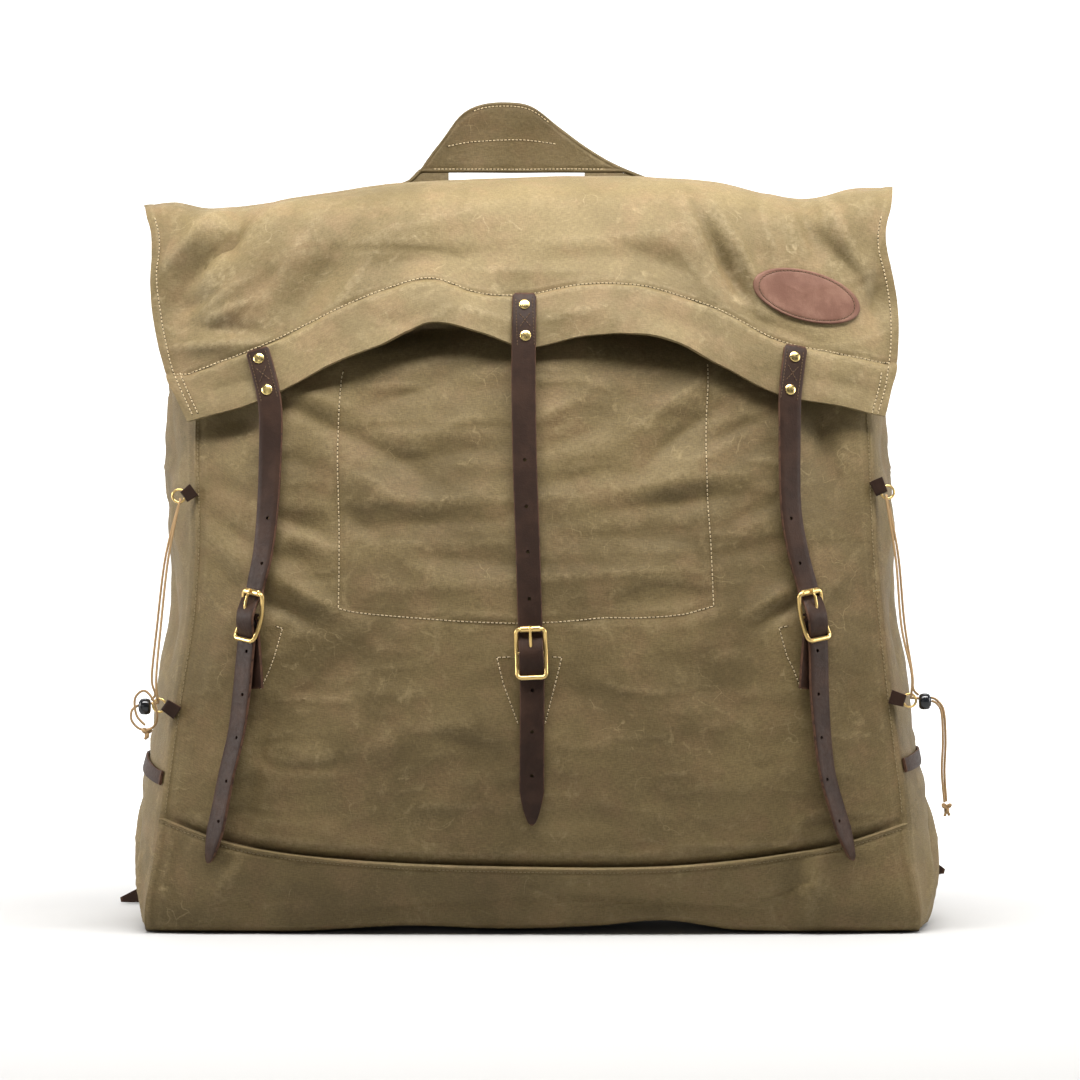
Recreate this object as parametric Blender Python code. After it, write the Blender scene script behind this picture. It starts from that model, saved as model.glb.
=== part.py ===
"""Canoe pack of waxed canvas with leather closing straps, built in Blender.

The front faces -Y, +Z is up, and the pack stands on z = 0 with the middle of its box at x = 0, y = 0.
Tables are in millimetres, as a pattern maker would note them, and MM turns them into metres.
"""

from math import atan2, cos, exp, hypot, pi, radians, sin
from typing import NamedTuple

import bmesh
import bpy
from mathutils import Matrix, Vector
from mathutils.bvhtree import BVHTree

MM = 0.001

# Cloth and leather
CANVAS = 2.0 * MM
STRAP = 2.8 * MM
THIN_LEATHER = 2.2 * MM
SEAM_GAP = 0.6 * MM
LAY_GAP = 0.4 * MM
SEAM_LAP = 10 * MM
LAP_END = 0.86

# Body
BODY_TOP = 546 * MM
GUSSET_TOP = 530 * MM
GUSSET_TUCK = 34 * MM
GUSSET_LEAN = 12 * MM
BACK_ROUNDING = 12 * MM
PANEL_COLUMNS = 20
FRONT_ROWS = 15
BOTTOM_ROWS = 3
BACK_COLUMNS = 8
BACK_ROWS = 8
GUSSET_COLUMNS = 6
BACK_GAP = 1.5 * MM
REAR_SPREAD = 1.02
SEAM_REACH = 292
BOTTOM_REACH = 305
SIDE_TURN = 90 * MM
FULLNESS = (2.6, 0.85)
CORNER_REACH = 11 * MM

# Flap
FLAP_COLUMNS = 24
FLAP_ROWS = 13
BAND_STAND = 6.5 * MM

# Closing straps and their buckles
STRAP_WIDTH = 19 * MM
TAB_WALL = 3.0 * MM
STRAP_STEP = 16 * MM
PROBES = 5
HOLE_RADIUS = 1.5 * MM
RIVET_RADIUS = 4.35 * MM
RIVET_RISE = 1.5 * MM
BUCKLE_WIDTH = 25.6 * MM
BUCKLE_HEIGHT = 40.5 * MM
BUCKLE_WIRE = 1.35 * MM
BAR_RADIUS = 1.15 * MM
BAR_STAND = 4.2 * MM
LOOP_RADIUS = 3.1 * MM
ROLLER_RADIUS = 2.3 * MM
PRONG_RADIUS = 1.05 * MM
PRONG_HOLE = 7.4 * MM

# Side hardware
RING_RADIUS = 6.0 * MM
RING_WIRE = 0.95 * MM
TAB_THICKNESS = 4.2 * MM
CORD_RADIUS = 0.95 * MM
LOCK_RADIUS = 6.4 * MM
LOCK_LENGTH = 9.0 * MM
KNOT_RADIUS = 4.4 * MM
SIDE_BAND_WIDTH = 11 * MM


class Level(NamedTuple):
    """The body's section at one height."""

    z: float
    seam_left: float
    seam_right: float
    side_left: float
    side_right: float
    seam_y: float
    belly_y: float
    back_y: float


LEVELS = (
    Level(0, -303, 304, -313, 319, -103, -105, 104),
    Level(22, -302, 303, -315, 324, -108, -117, 108),
    Level(60, -295, 295, -319, 327, -110, -127, 111),
    Level(105, -289, 292, -318, 321, -108, -132, 113),
    Level(145, -284, 287, -308, 309, -105, -135, 114),
    Level(200, -276, 281, -305, 306, -100, -136, 114),
    Level(250, -269, 276, -295, 296, -94, -133, 112),
    Level(310, -266, 272, -297, 296, -87, -125, 109),
    Level(380, -268, 270, -300, 291, -79, -112, 104),
    Level(450, -267, 266, -297, 288, -70, -96, 98),
    Level(560, -258, 258, -284, 278, -54, -66, 86),
)


class SeamPoint(NamedTuple):
    """A point of the seam that joins the base panel to the front."""

    x: float
    z: float


BASE_SEAM = (
    SeamPoint(-290, 91),
    SeamPoint(-240, 74),
    SeamPoint(-187, 64),
    SeamPoint(-101, 57),
    SeamPoint(0, 54),
    SeamPoint(88, 54),
    SeamPoint(148, 58),
    SeamPoint(196, 64),
    SeamPoint(237, 71),
    SeamPoint(294, 88),
)

BOTTOM_LIFT = (
    SeamPoint(-310, 0),
    SeamPoint(-190, 0),
    SeamPoint(-100, 5),
    SeamPoint(-20, 2.5),
    SeamPoint(50, 5),
    SeamPoint(104, 9.5),
    SeamPoint(165, 1),
    SeamPoint(310, 0),
)


class CrestPoint(NamedTuple):
    """The height of the flap where it turns over the top."""

    x: float
    z: float


CREST = (
    CrestPoint(-314, 580),
    CrestPoint(-290, 583),
    CrestPoint(-258, 577),
    CrestPoint(-191, 586),
    CrestPoint(-113, 598),
    CrestPoint(0, 603),
    CrestPoint(97, 603),
    CrestPoint(150, 599),
    CrestPoint(191, 589),
    CrestPoint(228, 585),
    CrestPoint(258, 594),
    CrestPoint(292, 595),
)


class FlapHem(NamedTuple):
    """The flap's lower edge: its height, its stitch line and how far it stands off the front."""

    x: float
    edge: float
    stitch: float
    stand: float


FLAP_HEM = (
    FlapHem(-272, 400, 438, 3),
    FlapHem(-213, 417, 460, 1),
    FlapHem(-158, 444, 486, 6),
    FlapHem(-119, 460, 503, 11),
    FlapHem(-80, 478, 513, 15),
    FlapHem(-41, 469, 501, 9),
    FlapHem(-5, 458, 500, 2),
    FlapHem(40, 467, 508, 9),
    FlapHem(85, 468, 507, 14),
    FlapHem(116, 460, 499, 11),
    FlapHem(147, 444, 488, 6),
    FlapHem(194, 421, 464, 1),
    FlapHem(241, 413, 454, 3),
    FlapHem(277, 405, 447, 4),
)


class FlapTurn(NamedTuple):
    """The flap's line over the top: how far back it is, and how far below the crest."""

    y: float
    drop: float


FLAP_TURN = (
    FlapTurn(76, 17),
    FlapTurn(44, 4),
    FlapTurn(8, 0),
)


class FlapShoulder(NamedTuple):
    """The flap's way from the crest down to the mouth, as shares of the mouth's y and height."""

    forward: float
    down: float


FLAP_SHOULDER = (
    FlapShoulder(0.42, 0.12),
    FlapShoulder(0.80, 0.44),
    FlapShoulder(1.0, 1.0),
)
MOUTH_Z = 547
BROW_STAND = 7.5
MOUTH_STAND = 8

FLAP_BACK_HEM_Z = 534
FLAP_BACK_TOP_Z = 560
FLAP_BACK_HALF = 264
FLAP_BACK_STAND = 0.5


class FlapSide(NamedTuple):
    """The flap's two side edges at one height on the front."""

    z: float
    left: float
    right: float


FLAP_SIDE = (
    FlapSide(400, -271, 277),
    FlapSide(426.7, -284, 285),
    FlapSide(442, -291, 288),
    FlapSide(458, -295.4, 290.5),
    FlapSide(474, -299.4, 291.3),
    FlapSide(490, -302.5, 291.3),
    FlapSide(506, -305, 289.7),
    FlapSide(522, -305.7, 286.5),
    FlapSide(538, -304, 282.5),
    FlapSide(553, -305, 282.5),
    FlapSide(580, -314, 289),
    FlapSide(595, -316, 292),
)


class Fold(NamedTuple):
    """A soft dent (depth over zero) or ridge (under zero) that runs along one direction."""

    x: float
    z: float
    angle: float
    length: float
    width: float
    depth: float


FRONT_FOLDS = (
    Fold(-238, 386, 28, 60, 15, 7),
    Fold(240, 390, -30, 60, 15, 7),
    Fold(-222, 322, 62, 60, 13, -4),
    Fold(-190, 285, 25, 70, 14, 4),
    Fold(228, 325, -62, 60, 13, -4),
    Fold(192, 290, -25, 70, 14, 4),
    Fold(-100, 405, 18, 90, 12, -3),
    Fold(95, 410, -14, 90, 12, -3),
    Fold(-60, 330, 12, 90, 15, 3),
    Fold(70, 285, -8, 110, 16, 3),
    Fold(-150, 210, 55, 70, 18, 3),
    Fold(120, 165, -30, 90, 20, 3),
    Fold(-110, 120, 12, 110, 18, -3),
    Fold(130, 105, -12, 110, 18, -3),
    Fold(-60, 26, 4, 120, 12, 4),
    Fold(110, 28, -6, 90, 12, 5),
)

FLAP_FOLDS = (
    Fold(-247, 541, 52, 42, 10, -5),
    Fold(-256, 520, 50, 50, 12, 6),
    Fold(-205, 540, 38, 60, 12, 4),
    Fold(150, 545, -46, 55, 11, 5),
    Fold(140, 520, -42, 45, 10, -3),
    Fold(256, 530, 80, 55, 12, 5),
    Fold(-70, 540, 6, 100, 18, 3),
    Fold(60, 530, -8, 100, 16, 2),
)


class StrapPoint(NamedTuple):
    """A point of a closing strap's middle line, seen from the front."""

    x: float
    z: float


class ClosingStrap(NamedTuple):
    """One closing strap: its route, its rivets, its holes and the tab that holds its buckle."""

    side: str
    route: tuple
    rivets: tuple
    holes: tuple
    buckle: StrapPoint
    tilt: float
    tab_foot: StrapPoint


STRAPS = (
    ClosingStrap(
        "left",
        (
            StrapPoint(-216, 457),
            StrapPoint(-207, 425),
            StrapPoint(-204, 399),
            StrapPoint(-205, 340),
            StrapPoint(-208.5, 298),
            StrapPoint(-214.2, 270),
            StrapPoint(-217.5, 248),
            StrapPoint(-220.8, 226),
            StrapPoint(-224, 191),
            StrapPoint(-228, 158),
            StrapPoint(-236, 123),
            StrapPoint(-242, 92),
            StrapPoint(-250, 57),
        ),
        (StrapPoint(-214.5, 450), StrapPoint(-207.5, 425)),
        (324, 289, 221, 188, 154, 121, 90),
        StrapPoint(-217.5, 248),
        8.5,
        StrapPoint(-212, 192),
    ),
    ClosingStrap(
        "centre",
        (
            StrapPoint(-6, 500),
            StrapPoint(-6.5, 430),
            StrapPoint(-5.5, 370),
            StrapPoint(-3, 298),
            StrapPoint(-1.3, 242),
            StrapPoint(-0.5, 220),
            StrapPoint(0.3, 198),
            StrapPoint(0, 119),
            StrapPoint(0, 87),
        ),
        (StrapPoint(-6, 492), StrapPoint(-5, 467)),
        (370, 333, 298, 262, 192, 159, 125),
        StrapPoint(-0.5, 220),
        -2.0,
        StrapPoint(-0.5, 167),
    ),
    ClosingStrap(
        "right",
        (
            StrapPoint(207, 459),
            StrapPoint(202, 425),
            StrapPoint(201, 400),
            StrapPoint(201, 336),
            StrapPoint(206.5, 298),
            StrapPoint(213.7, 270),
            StrapPoint(217.5, 248.5),
            StrapPoint(221.3, 227),
            StrapPoint(222, 192),
            StrapPoint(224, 158),
            StrapPoint(228, 125),
            StrapPoint(237, 93),
            StrapPoint(248, 59),
        ),
        (StrapPoint(206, 451), StrapPoint(202, 425)),
        (324, 289, 221, 188, 154, 122, 90),
        StrapPoint(217.5, 248.5),
        -10.0,
        StrapPoint(211, 192),
    ),
)


class HandlePoint(NamedTuple):
    """The haul handle's upper outline."""

    x: float
    top: float


HANDLE = (
    HandlePoint(-121, 607),
    HandlePoint(-101, 615),
    HandlePoint(-77, 645),
    HandlePoint(-61, 666),
    HandlePoint(-44, 675),
    HandlePoint(-20, 677),
    HandlePoint(0, 673),
    HandlePoint(23, 656),
    HandlePoint(45, 640),
    HandlePoint(71, 625),
    HandlePoint(106, 611),
)
HANDLE_WALL = 5.0 * MM
HANDLE_UNDER = 613 * MM
HANDLE_FOOT = 530 * MM
HANDLE_GRIP = (-71 * MM, 44 * MM)
HANDLE_LEAN = 9 * MM

PATCH_CENTRE = (217 * MM, 500 * MM)
PATCH_LONG = 44 * MM
PATCH_SHORT = 20 * MM
PATCH_TILT = radians(-14.5)
PATCH_SIDES = 20


class RingMount(NamedTuple):
    """A ring on its leather tab: the tab's root at the seam, and the ring's middle."""

    name: str
    root_x: float
    root_z: float
    ring_x: float
    ring_y: float
    ring_z: float


RINGS = (
    RingMount("upper_left", -266.2, 347, -278, -87.1, 342),
    RingMount("upper_right", 270.6, 355, 280, -87.1, 345),
    RingMount("lower_left", -277, 172, -291, -106.6, 178),
    RingMount("lower_right", 280, 185, 295, -106.6, 182),
)

LOCK_Y = -102.6 * MM
LOCKS = (("left", -303, 177), ("right", 307.5, 181))


class CordPoint(NamedTuple):
    """A point of a cord's route."""

    x: float
    y: float
    z: float


SIDE_CORDS = {
    "left": (
        CordPoint(-298.1, -104.6, 179.5),
        CordPoint(-293.5, -103.1, 179.8),
        CordPoint(-292, -106.6, 180.2),
        CordPoint(-292, -110.8, 184),
        CordPoint(-293, -111.1, 200),
        CordPoint(-290.5, -103.6, 238),
        CordPoint(-285.5, -96.9, 291),
        CordPoint(-278.5, -91.1, 331),
        CordPoint(-276.8, -89.3, 338),
        CordPoint(-277.2, -86.7, 339.4),
        CordPoint(-277.8, -83.9, 336.5),
        CordPoint(-280.5, -84.6, 328),
        CordPoint(-288.5, -91.9, 291),
        CordPoint(-294, -97.1, 240),
        CordPoint(-297.5, -102.1, 200),
        CordPoint(-295, -101.6, 187),
        CordPoint(-298.1, -101.1, 182),
    ),
    "right": (
        CordPoint(302.6, -104.6, 183.5),
        CordPoint(297.5, -103.1, 183.8),
        CordPoint(296, -106.6, 184.2),
        CordPoint(296, -110.8, 188),
        CordPoint(296, -111.1, 204),
        CordPoint(289, -103.6, 240),
        CordPoint(285.5, -96.9, 291),
        CordPoint(279.5, -91.1, 334),
        CordPoint(278.8, -89.3, 341),
        CordPoint(279.2, -86.7, 342.4),
        CordPoint(279.8, -83.9, 339.5),
        CordPoint(282, -84.6, 331),
        CordPoint(288, -92, 294),
        CordPoint(292, -97.2, 243),
        CordPoint(297.5, -102.1, 204),
        CordPoint(298.5, -101.6, 191),
        CordPoint(302.6, -101.1, 186),
    ),
}

CORD_TAILS = {
    "left": (
        CordPoint(-307.9, -102.6, 178),
        CordPoint(-313, -102.6, 174),
        CordPoint(-313, -103.6, 166),
        CordPoint(-306, -105.6, 159.5),
        CordPoint(-296, -108.6, 161),
        CordPoint(-292, -112.6, 170),
        CordPoint(-295, -115.6, 183),
        CordPoint(-302, -115.6, 190),
        CordPoint(-309, -114.6, 184),
        CordPoint(-308, -114.1, 171),
        CordPoint(-301.5, -113.1, 163),
    ),
    "right_front": (
        CordPoint(312.4, -104.6, 181.5),
        CordPoint(316.5, -104.6, 179.5),
        CordPoint(320.3, -104.6, 172),
        CordPoint(321.3, -104.6, 150),
        CordPoint(320.5, -104.6, 126),
        CordPoint(322.5, -104.6, 102.1),
    ),
    "right_back": (
        CordPoint(312.4, -100.6, 184),
        CordPoint(317.5, -100.6, 181.5),
        CordPoint(322.5, -100.6, 173),
        CordPoint(323.9, -100.6, 150),
        CordPoint(323.1, -100.6, 126),
        CordPoint(324.5, -100.6, 102.5),
    ),
}

KNOTS = (("left", -300, -112.6, 157.5), ("right", 324.5, -102.6, 98))


class SideBand(NamedTuple):
    """A leather band across a gusset: its heights at the front seam and at the fullest place."""

    side: str
    front_z: float
    full_z: float
    rear_z: float


SIDE_BANDS = (SideBand("left", 121, 128, 124), SideBand("right", 131, 134, 130))


class BackStrapPoint(NamedTuple):
    """A point of a shoulder strap: half its width there, and the gap it leaves to the back."""

    x: float
    z: float
    half_width: float
    gap: float


SHOULDER_STRAPS = {
    "left": (
        BackStrapPoint(-34, 512, 21, 0.6),
        BackStrapPoint(-46, 484, 22, 0.8),
        BackStrapPoint(-76, 430, 23, 22),
        BackStrapPoint(-108, 370, 23, 35),
        BackStrapPoint(-140, 300, 22, 38),
        BackStrapPoint(-170, 235, 18, 33),
        BackStrapPoint(-200, 170, 13, 25),
        BackStrapPoint(-232, 105, 12.5, 13),
        BackStrapPoint(-256, 64, 12.5, 6),
        BackStrapPoint(-280, 32, 12.5, 1.4),
        BackStrapPoint(-306, 14, 11, 3),
        BackStrapPoint(-330, 7, 7, 4),
        BackStrapPoint(-348.5, 3, 2, 4),
    ),
    "right": (
        BackStrapPoint(34, 512, 21, 0.6),
        BackStrapPoint(46, 484, 22, 0.8),
        BackStrapPoint(76, 430, 23, 22),
        BackStrapPoint(108, 370, 23, 35),
        BackStrapPoint(140, 300, 22, 38),
        BackStrapPoint(170, 235, 18, 33),
        BackStrapPoint(200, 170, 13, 25),
        BackStrapPoint(232, 105, 12.5, 13),
        BackStrapPoint(258, 68, 12.5, 6),
        BackStrapPoint(288, 45, 12.5, 1.4),
        BackStrapPoint(316, 35, 11, 3),
        BackStrapPoint(336, 30, 7, 4),
        BackStrapPoint(348.5, 27, 2, 4),
    ),
}
SHOULDER_WALL = 3.0 * MM
BACK_EDGE = 96 * MM
SHOULDER_WIRE = 1.5 * MM
SHOULDER_BUCKLE_HALF = (16 * MM, 13 * MM)
SHOULDER_BUCKLES = {"left": (-240, 91, 27), "right": (241, 93, -27)}
YOKE_HALF = 64 * MM
YOKE_TOP = 526 * MM
YOKE_HEIGHT = 56 * MM
YOKE_WALL = 2.5 * MM
YOKE_Y = 99 * MM
YOKE_RIVETS = ((-36, 508), (36, 508), (-46, 486), (46, 486))

# Materials: colour, roughness and metallic value
FINISHES = {
    "waxed_canvas": ((0.222, 0.160, 0.090), 0.80, 0.0),
    "strap_leather": ((0.046, 0.024, 0.015), 0.50, 0.0),
    "patch_leather": ((0.150, 0.066, 0.042), 0.60, 0.0),
    "brass": ((0.740, 0.520, 0.200), 0.28, 1.0),
    "cord": ((0.300, 0.190, 0.085), 0.75, 0.0),
    "black_plastic": ((0.012, 0.012, 0.013), 0.30, 0.0),
}


def clear_scene():
    """Removes what the new file holds."""
    for thing in list(bpy.data.objects):
        bpy.data.objects.remove(thing, do_unlink=True)


def material(name):
    """The finish of that name, made on first use."""
    if name in bpy.data.materials:
        return bpy.data.materials[name]
    colour, roughness, metallic = FINISHES[name]
    made = bpy.data.materials.new(name)
    made.use_nodes = True
    shader = made.node_tree.nodes["Principled BSDF"]
    shader.inputs["Base Color"].default_value = (*colour, 1.0)
    shader.inputs["Roughness"].default_value = roughness
    shader.inputs["Metallic"].default_value = metallic
    return made


def smooth(rows, column, at):
    """The value of a column on a smooth curve through the table's rows, in the table's units."""
    ats = [row[0] for row in rows]
    values = [getattr(row, column) for row in rows]
    if at <= ats[0]:
        return values[0]
    if at >= ats[-1]:
        return values[-1]
    i = max(k for k in range(len(ats) - 1) if ats[k] <= at)
    span = ats[i + 1] - ats[i]
    t = (at - ats[i]) / span

    def slope(k):
        low, high = max(k - 1, 0), min(k + 1, len(ats) - 1)
        return (values[high] - values[low]) / (ats[high] - ats[low])

    rise = (2 * t**3 - 3 * t**2 + 1) * values[i] + (3 * t**2 - 2 * t**3) * values[i + 1]
    return rise + span * ((t**3 - 2 * t**2 + t) * slope(i) + (t**3 - t**2) * slope(i + 1))


def through(points, count):
    """That many points, evenly far apart, on a smooth curve through the given ones."""
    given = [Vector(p) for p in points]
    fine = []
    for i in range(len(given) - 1):
        before = given[max(i - 1, 0)]
        after = given[min(i + 2, len(given) - 1)]
        for step in range(16):
            t = step / 16
            fine.append(
                0.5
                * (
                    2 * given[i]
                    + (given[i + 1] - before) * t
                    + (2 * before - 5 * given[i] + 4 * given[i + 1] - after) * t**2
                    + (3 * given[i] - before - 3 * given[i + 1] + after) * t**3
                )
            )
    fine.append(given[-1])
    reach = [0.0]
    for a, b in zip(fine, fine[1:]):
        reach.append(reach[-1] + (b - a).length)
    picked = []
    k = 0
    for n in range(count):
        want = reach[-1] * n / (count - 1)
        while k < len(reach) - 2 and reach[k + 1] < want:
            k += 1
        share = (want - reach[k]) / max(reach[k + 1] - reach[k], 1e-9)
        picked.append(fine[k].lerp(fine[k + 1], share))
    return picked


def fold_depth(folds, x, z):
    """How far the folds push a point of the cloth in (+Y), in metres."""
    total = 0.0
    for fold in folds:
        turn = radians(fold.angle)
        dx, dz = x / MM - fold.x, z / MM - fold.z
        along = dx * cos(turn) + dz * sin(turn)
        across = dz * cos(turn) - dx * sin(turn)
        total += fold.depth * exp(-((along / fold.length) ** 2) - (across / fold.width) ** 2)
    return total * MM


def level(column, z):
    """A column of the body's table at a height, in metres."""
    return smooth(LEVELS, column, z / MM) * MM


def across_front(x, z):
    """Where x lies between the front seams, from -1 at the left to 1 at the right."""
    left, right = level("seam_left", z), level("seam_right", z)
    return (2 * x - left - right) / (right - left)


def front_y(x, z):
    """The front's outer surface; past the seams it turns back round the sides."""
    u = abs(across_front(x, z))
    seam, belly = level("seam_y", z), level("belly_y", z)
    if u >= 1:
        return seam + (u - 1) * SIDE_TURN
    fullness = (1 - u ** FULLNESS[0]) ** FULLNESS[1]
    return seam + (belly - seam) * fullness + fold_depth(FRONT_FOLDS, x, z) * min(1, 6 * (1 - u))


def back_y(u, z):
    """The back's outer surface, rounded forward at its sides."""
    return level("back_y", z) - BACK_ROUNDING * abs(u) ** 4


def seam_height(u):
    """The height of the base panel's seam, u from -1 to 1 across the front."""
    return smooth(BASE_SEAM, "z", u * SEAM_REACH) * MM


def sheet(name, rows, wall, finish, offset=-1.0):
    """A closed sheet of cloth or leather: rows of points on its outer face, thickened inward.

    A point that is None leaves the cells round it open.
    """
    mesh = bpy.data.meshes.new(name)
    form = bmesh.new()
    points = [[form.verts.new(p) if p is not None else None for p in row] for row in rows]
    for low, high in zip(points, points[1:]):
        for a, b, c, d in zip(low, low[1:], high[1:], high):
            if None not in (a, b, c, d):
                form.faces.new((a, b, c, d))
    form.to_mesh(mesh)
    form.free()
    made = bpy.data.objects.new(name, mesh)
    bpy.context.collection.objects.link(made)
    thick = made.modifiers.new("Thickness", "SOLIDIFY")
    thick.thickness = wall
    thick.offset = offset
    thick.use_even_offset = True
    mesh.materials.append(material(finish))
    mesh.shade_smooth()
    mesh.set_sharp_from_angle(angle=radians(40))
    return made


def solid(name, form, finish):
    """A mesh object from a closed bmesh."""
    bmesh.ops.recalc_face_normals(form, faces=form.faces)
    mesh = bpy.data.meshes.new(name)
    form.to_mesh(mesh)
    form.free()
    made = bpy.data.objects.new(name, mesh)
    bpy.context.collection.objects.link(made)
    mesh.materials.append(material(finish))
    mesh.shade_smooth()
    mesh.set_sharp_from_angle(angle=radians(40))
    return made


def tube(name, points, radius, finish, resolution=2, closed=False):
    """A round wire or cord along the points."""
    curve = bpy.data.curves.new(name, "CURVE")
    curve.dimensions = "3D"
    curve.bevel_depth = radius
    curve.bevel_resolution = resolution
    curve.use_fill_caps = not closed
    spline = curve.splines.new("POLY")
    spline.points.add(len(points) - 1)
    for place, point in zip(spline.points, points):
        place.co = (*point, 1.0)
    spline.use_cyclic_u = closed
    made = bpy.data.objects.new(name, curve)
    bpy.context.collection.objects.link(made)
    curve.materials.append(material(finish))
    return made


def as_mesh(curve_object):
    """The same tube as a mesh object under the same name."""
    name = curve_object.name
    evaluated = curve_object.evaluated_get(bpy.context.evaluated_depsgraph_get())
    mesh = bpy.data.meshes.new_from_object(evaluated)
    bpy.data.objects.remove(curve_object, do_unlink=True)
    made = bpy.data.objects.new(name, mesh)
    bpy.context.collection.objects.link(made)
    return made


def as_cutter(thing):
    """Marks a shape that only cuts or fills out another one."""
    thing.hide_render = True
    thing.display_type = "WIRE"
    return thing


def combine(target, other, operation):
    """Cuts the other shape out of the target, or joins it on."""
    change = target.modifiers.new(other.name, "BOOLEAN")
    change.operation = operation
    change.solver = "EXACT"
    change.object = as_cutter(other)


def turned(name, profile, sides, centre, axis, finish):
    """A turned solid from a profile of (radius, height) along an axis; a radius of 0 closes it."""
    form = bmesh.new()
    rings = []
    for radius, height in profile:
        count = sides if radius > 0 else 1
        angles = [2 * pi * k / sides for k in range(count)]
        rings.append([form.verts.new((radius * cos(a), radius * sin(a), height)) for a in angles])
    for low, high in zip(rings, rings[1:]):
        for k in range(sides):
            n = (k + 1) % sides
            corners = [low[k % len(low)], low[n % len(low)], high[n % len(high)], high[k % len(high)]]
            form.faces.new(list(dict.fromkeys(corners)))
    for ring, radius in ((rings[0], profile[0][0]), (rings[-1], profile[-1][0])):
        if radius > 0:
            form.faces.new(ring)
    turn = Vector((0, 0, 1)).rotation_difference(Vector(axis)).to_matrix().to_4x4()
    bmesh.ops.transform(form, matrix=Matrix.Translation(centre) @ turn, verts=form.verts)
    return solid(name, form, finish)


class Surface:
    """The outer faces of finished pieces, for laying other pieces on them."""

    def __init__(self, *things):
        deps = bpy.context.evaluated_depsgraph_get()
        deps.update()
        self.trees = [BVHTree.FromObject(thing, deps) for thing in things]

    def reach(self, start, way):
        """The nearest hit from start along a direction, as its point and normal, or None."""
        hits = [tree.ray_cast(Vector(start), Vector(way)) for tree in self.trees]
        hits = [hit for hit in hits if hit[0] is not None]
        return min(hits, key=lambda hit: hit[3])[:2] if hits else None

    def front(self, x, z, without=0.0):
        """How far forward the pieces reach at x and z."""
        hit = self.reach((x, -1, z), (0, 1, 0))
        return hit[0].y if hit else without

    def back(self, x, z, without=0.0):
        """How far back the pieces reach at x and z."""
        hit = self.reach((x, 1, z), (0, -1, 0))
        return hit[0].y if hit else without


def front_edge_levels():
    """Heights of the rows at the front seams, shared by the panels and the gussets."""
    top = [seam_height(1) + (BODY_TOP - seam_height(1)) * k / FRONT_ROWS for k in range(FRONT_ROWS + 1)]
    low = [seam_height(1) * share for share in (0.10, 0.26, 0.5, 0.75)]
    return low + top


def make_front_panel():
    """The front panel, from under the base panel's edge to the mouth."""
    rows = []
    for k in range(-1, FRONT_ROWS + 1):
        row = []
        for n in range(PANEL_COLUMNS + 1):
            u = 2 * n / PANEL_COLUMNS - 1
            seam = seam_height(u)
            z = seam + (BODY_TOP - seam) * k / FRONT_ROWS
            if k == 0:
                z = seam + 2 * SEAM_GAP
            if k < 0:
                z = seam + SEAM_GAP - (SEAM_LAP if abs(u) < LAP_END else 0)
            left, right = level("seam_left", z), level("seam_right", z)
            x = (left + right) / 2 + u * (right - left) / 2
            row.append((x, front_y(x, z), z))
        rows.append(row)
    return sheet("front_panel", rows, CANVAS, "waxed_canvas")


def bottom_lift(u):
    """How far the bottom's front edge is pulled up off the floor."""
    return max(0.0, smooth(BOTTOM_LIFT, "z", u * BOTTOM_REACH)) * MM


def base_lap(u):
    """How far the base panel stands off the front panel under it."""
    return (CANVAS + SEAM_GAP) * (1 - abs(u) ** 16)


def make_base_panel():
    """The base panel: over the front's lower edge, round the bottom edge and back underneath."""
    rows = []
    for share in (0.03, 0.10, 0.42, 0.80, 1.0):
        row = []
        for n in range(PANEL_COLUMNS + 1):
            u = 2 * n / PANEL_COLUMNS - 1
            lift = bottom_lift(u)
            z = lift + (seam_height(u) - lift) * share
            left, right = level("seam_left", z), level("seam_right", z)
            x = (left + right) / 2 + u * (right - left) / 2
            turn_in = 5 * MM * max(0.0, 1 - share / 0.10) ** 2
            row.append((x, front_y(x, z) - base_lap(u) + turn_in, z))
        rows.append(row)
    for k in range(BOTTOM_ROWS + 1):
        share = k / BOTTOM_ROWS
        row = []
        for n in range(PANEL_COLUMNS + 1):
            u = 2 * n / PANEL_COLUMNS - 1
            lift = bottom_lift(u) * (1 - share) ** 3
            left, right = level("seam_left", 0), level("seam_right", 0)
            x = (left + right) / 2 + u * (right - left) / 2
            x *= 1 + (REAR_SPREAD - 1) * share
            front = front_y(x, lift) - base_lap(u) + 11 * MM
            rear = back_y(u, 0) - CANVAS - BACK_GAP
            row.append((x, front + (rear - front) * share, lift))
        rows.insert(0, row)
    return sheet("base_panel", rows, CANVAS, "waxed_canvas")


def make_back_panel():
    """The back panel, from the floor to the mouth."""
    rows = []
    heights = [SEAM_GAP + (BODY_TOP - SEAM_GAP) * (k / BACK_ROWS) ** 1.1 for k in range(BACK_ROWS + 1)]
    for z in heights:
        row = []
        for n in range(BACK_COLUMNS + 1):
            u = 1 - 2 * n / BACK_COLUMNS
            left, right = level("seam_left", z), level("seam_right", z)
            x = ((left + right) / 2 + u * (right - left) / 2) * REAR_SPREAD
            row.append((x, back_y(u, z), z))
        rows.append(row)
    return sheet("back_panel", rows, CANVAS, "waxed_canvas")


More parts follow.
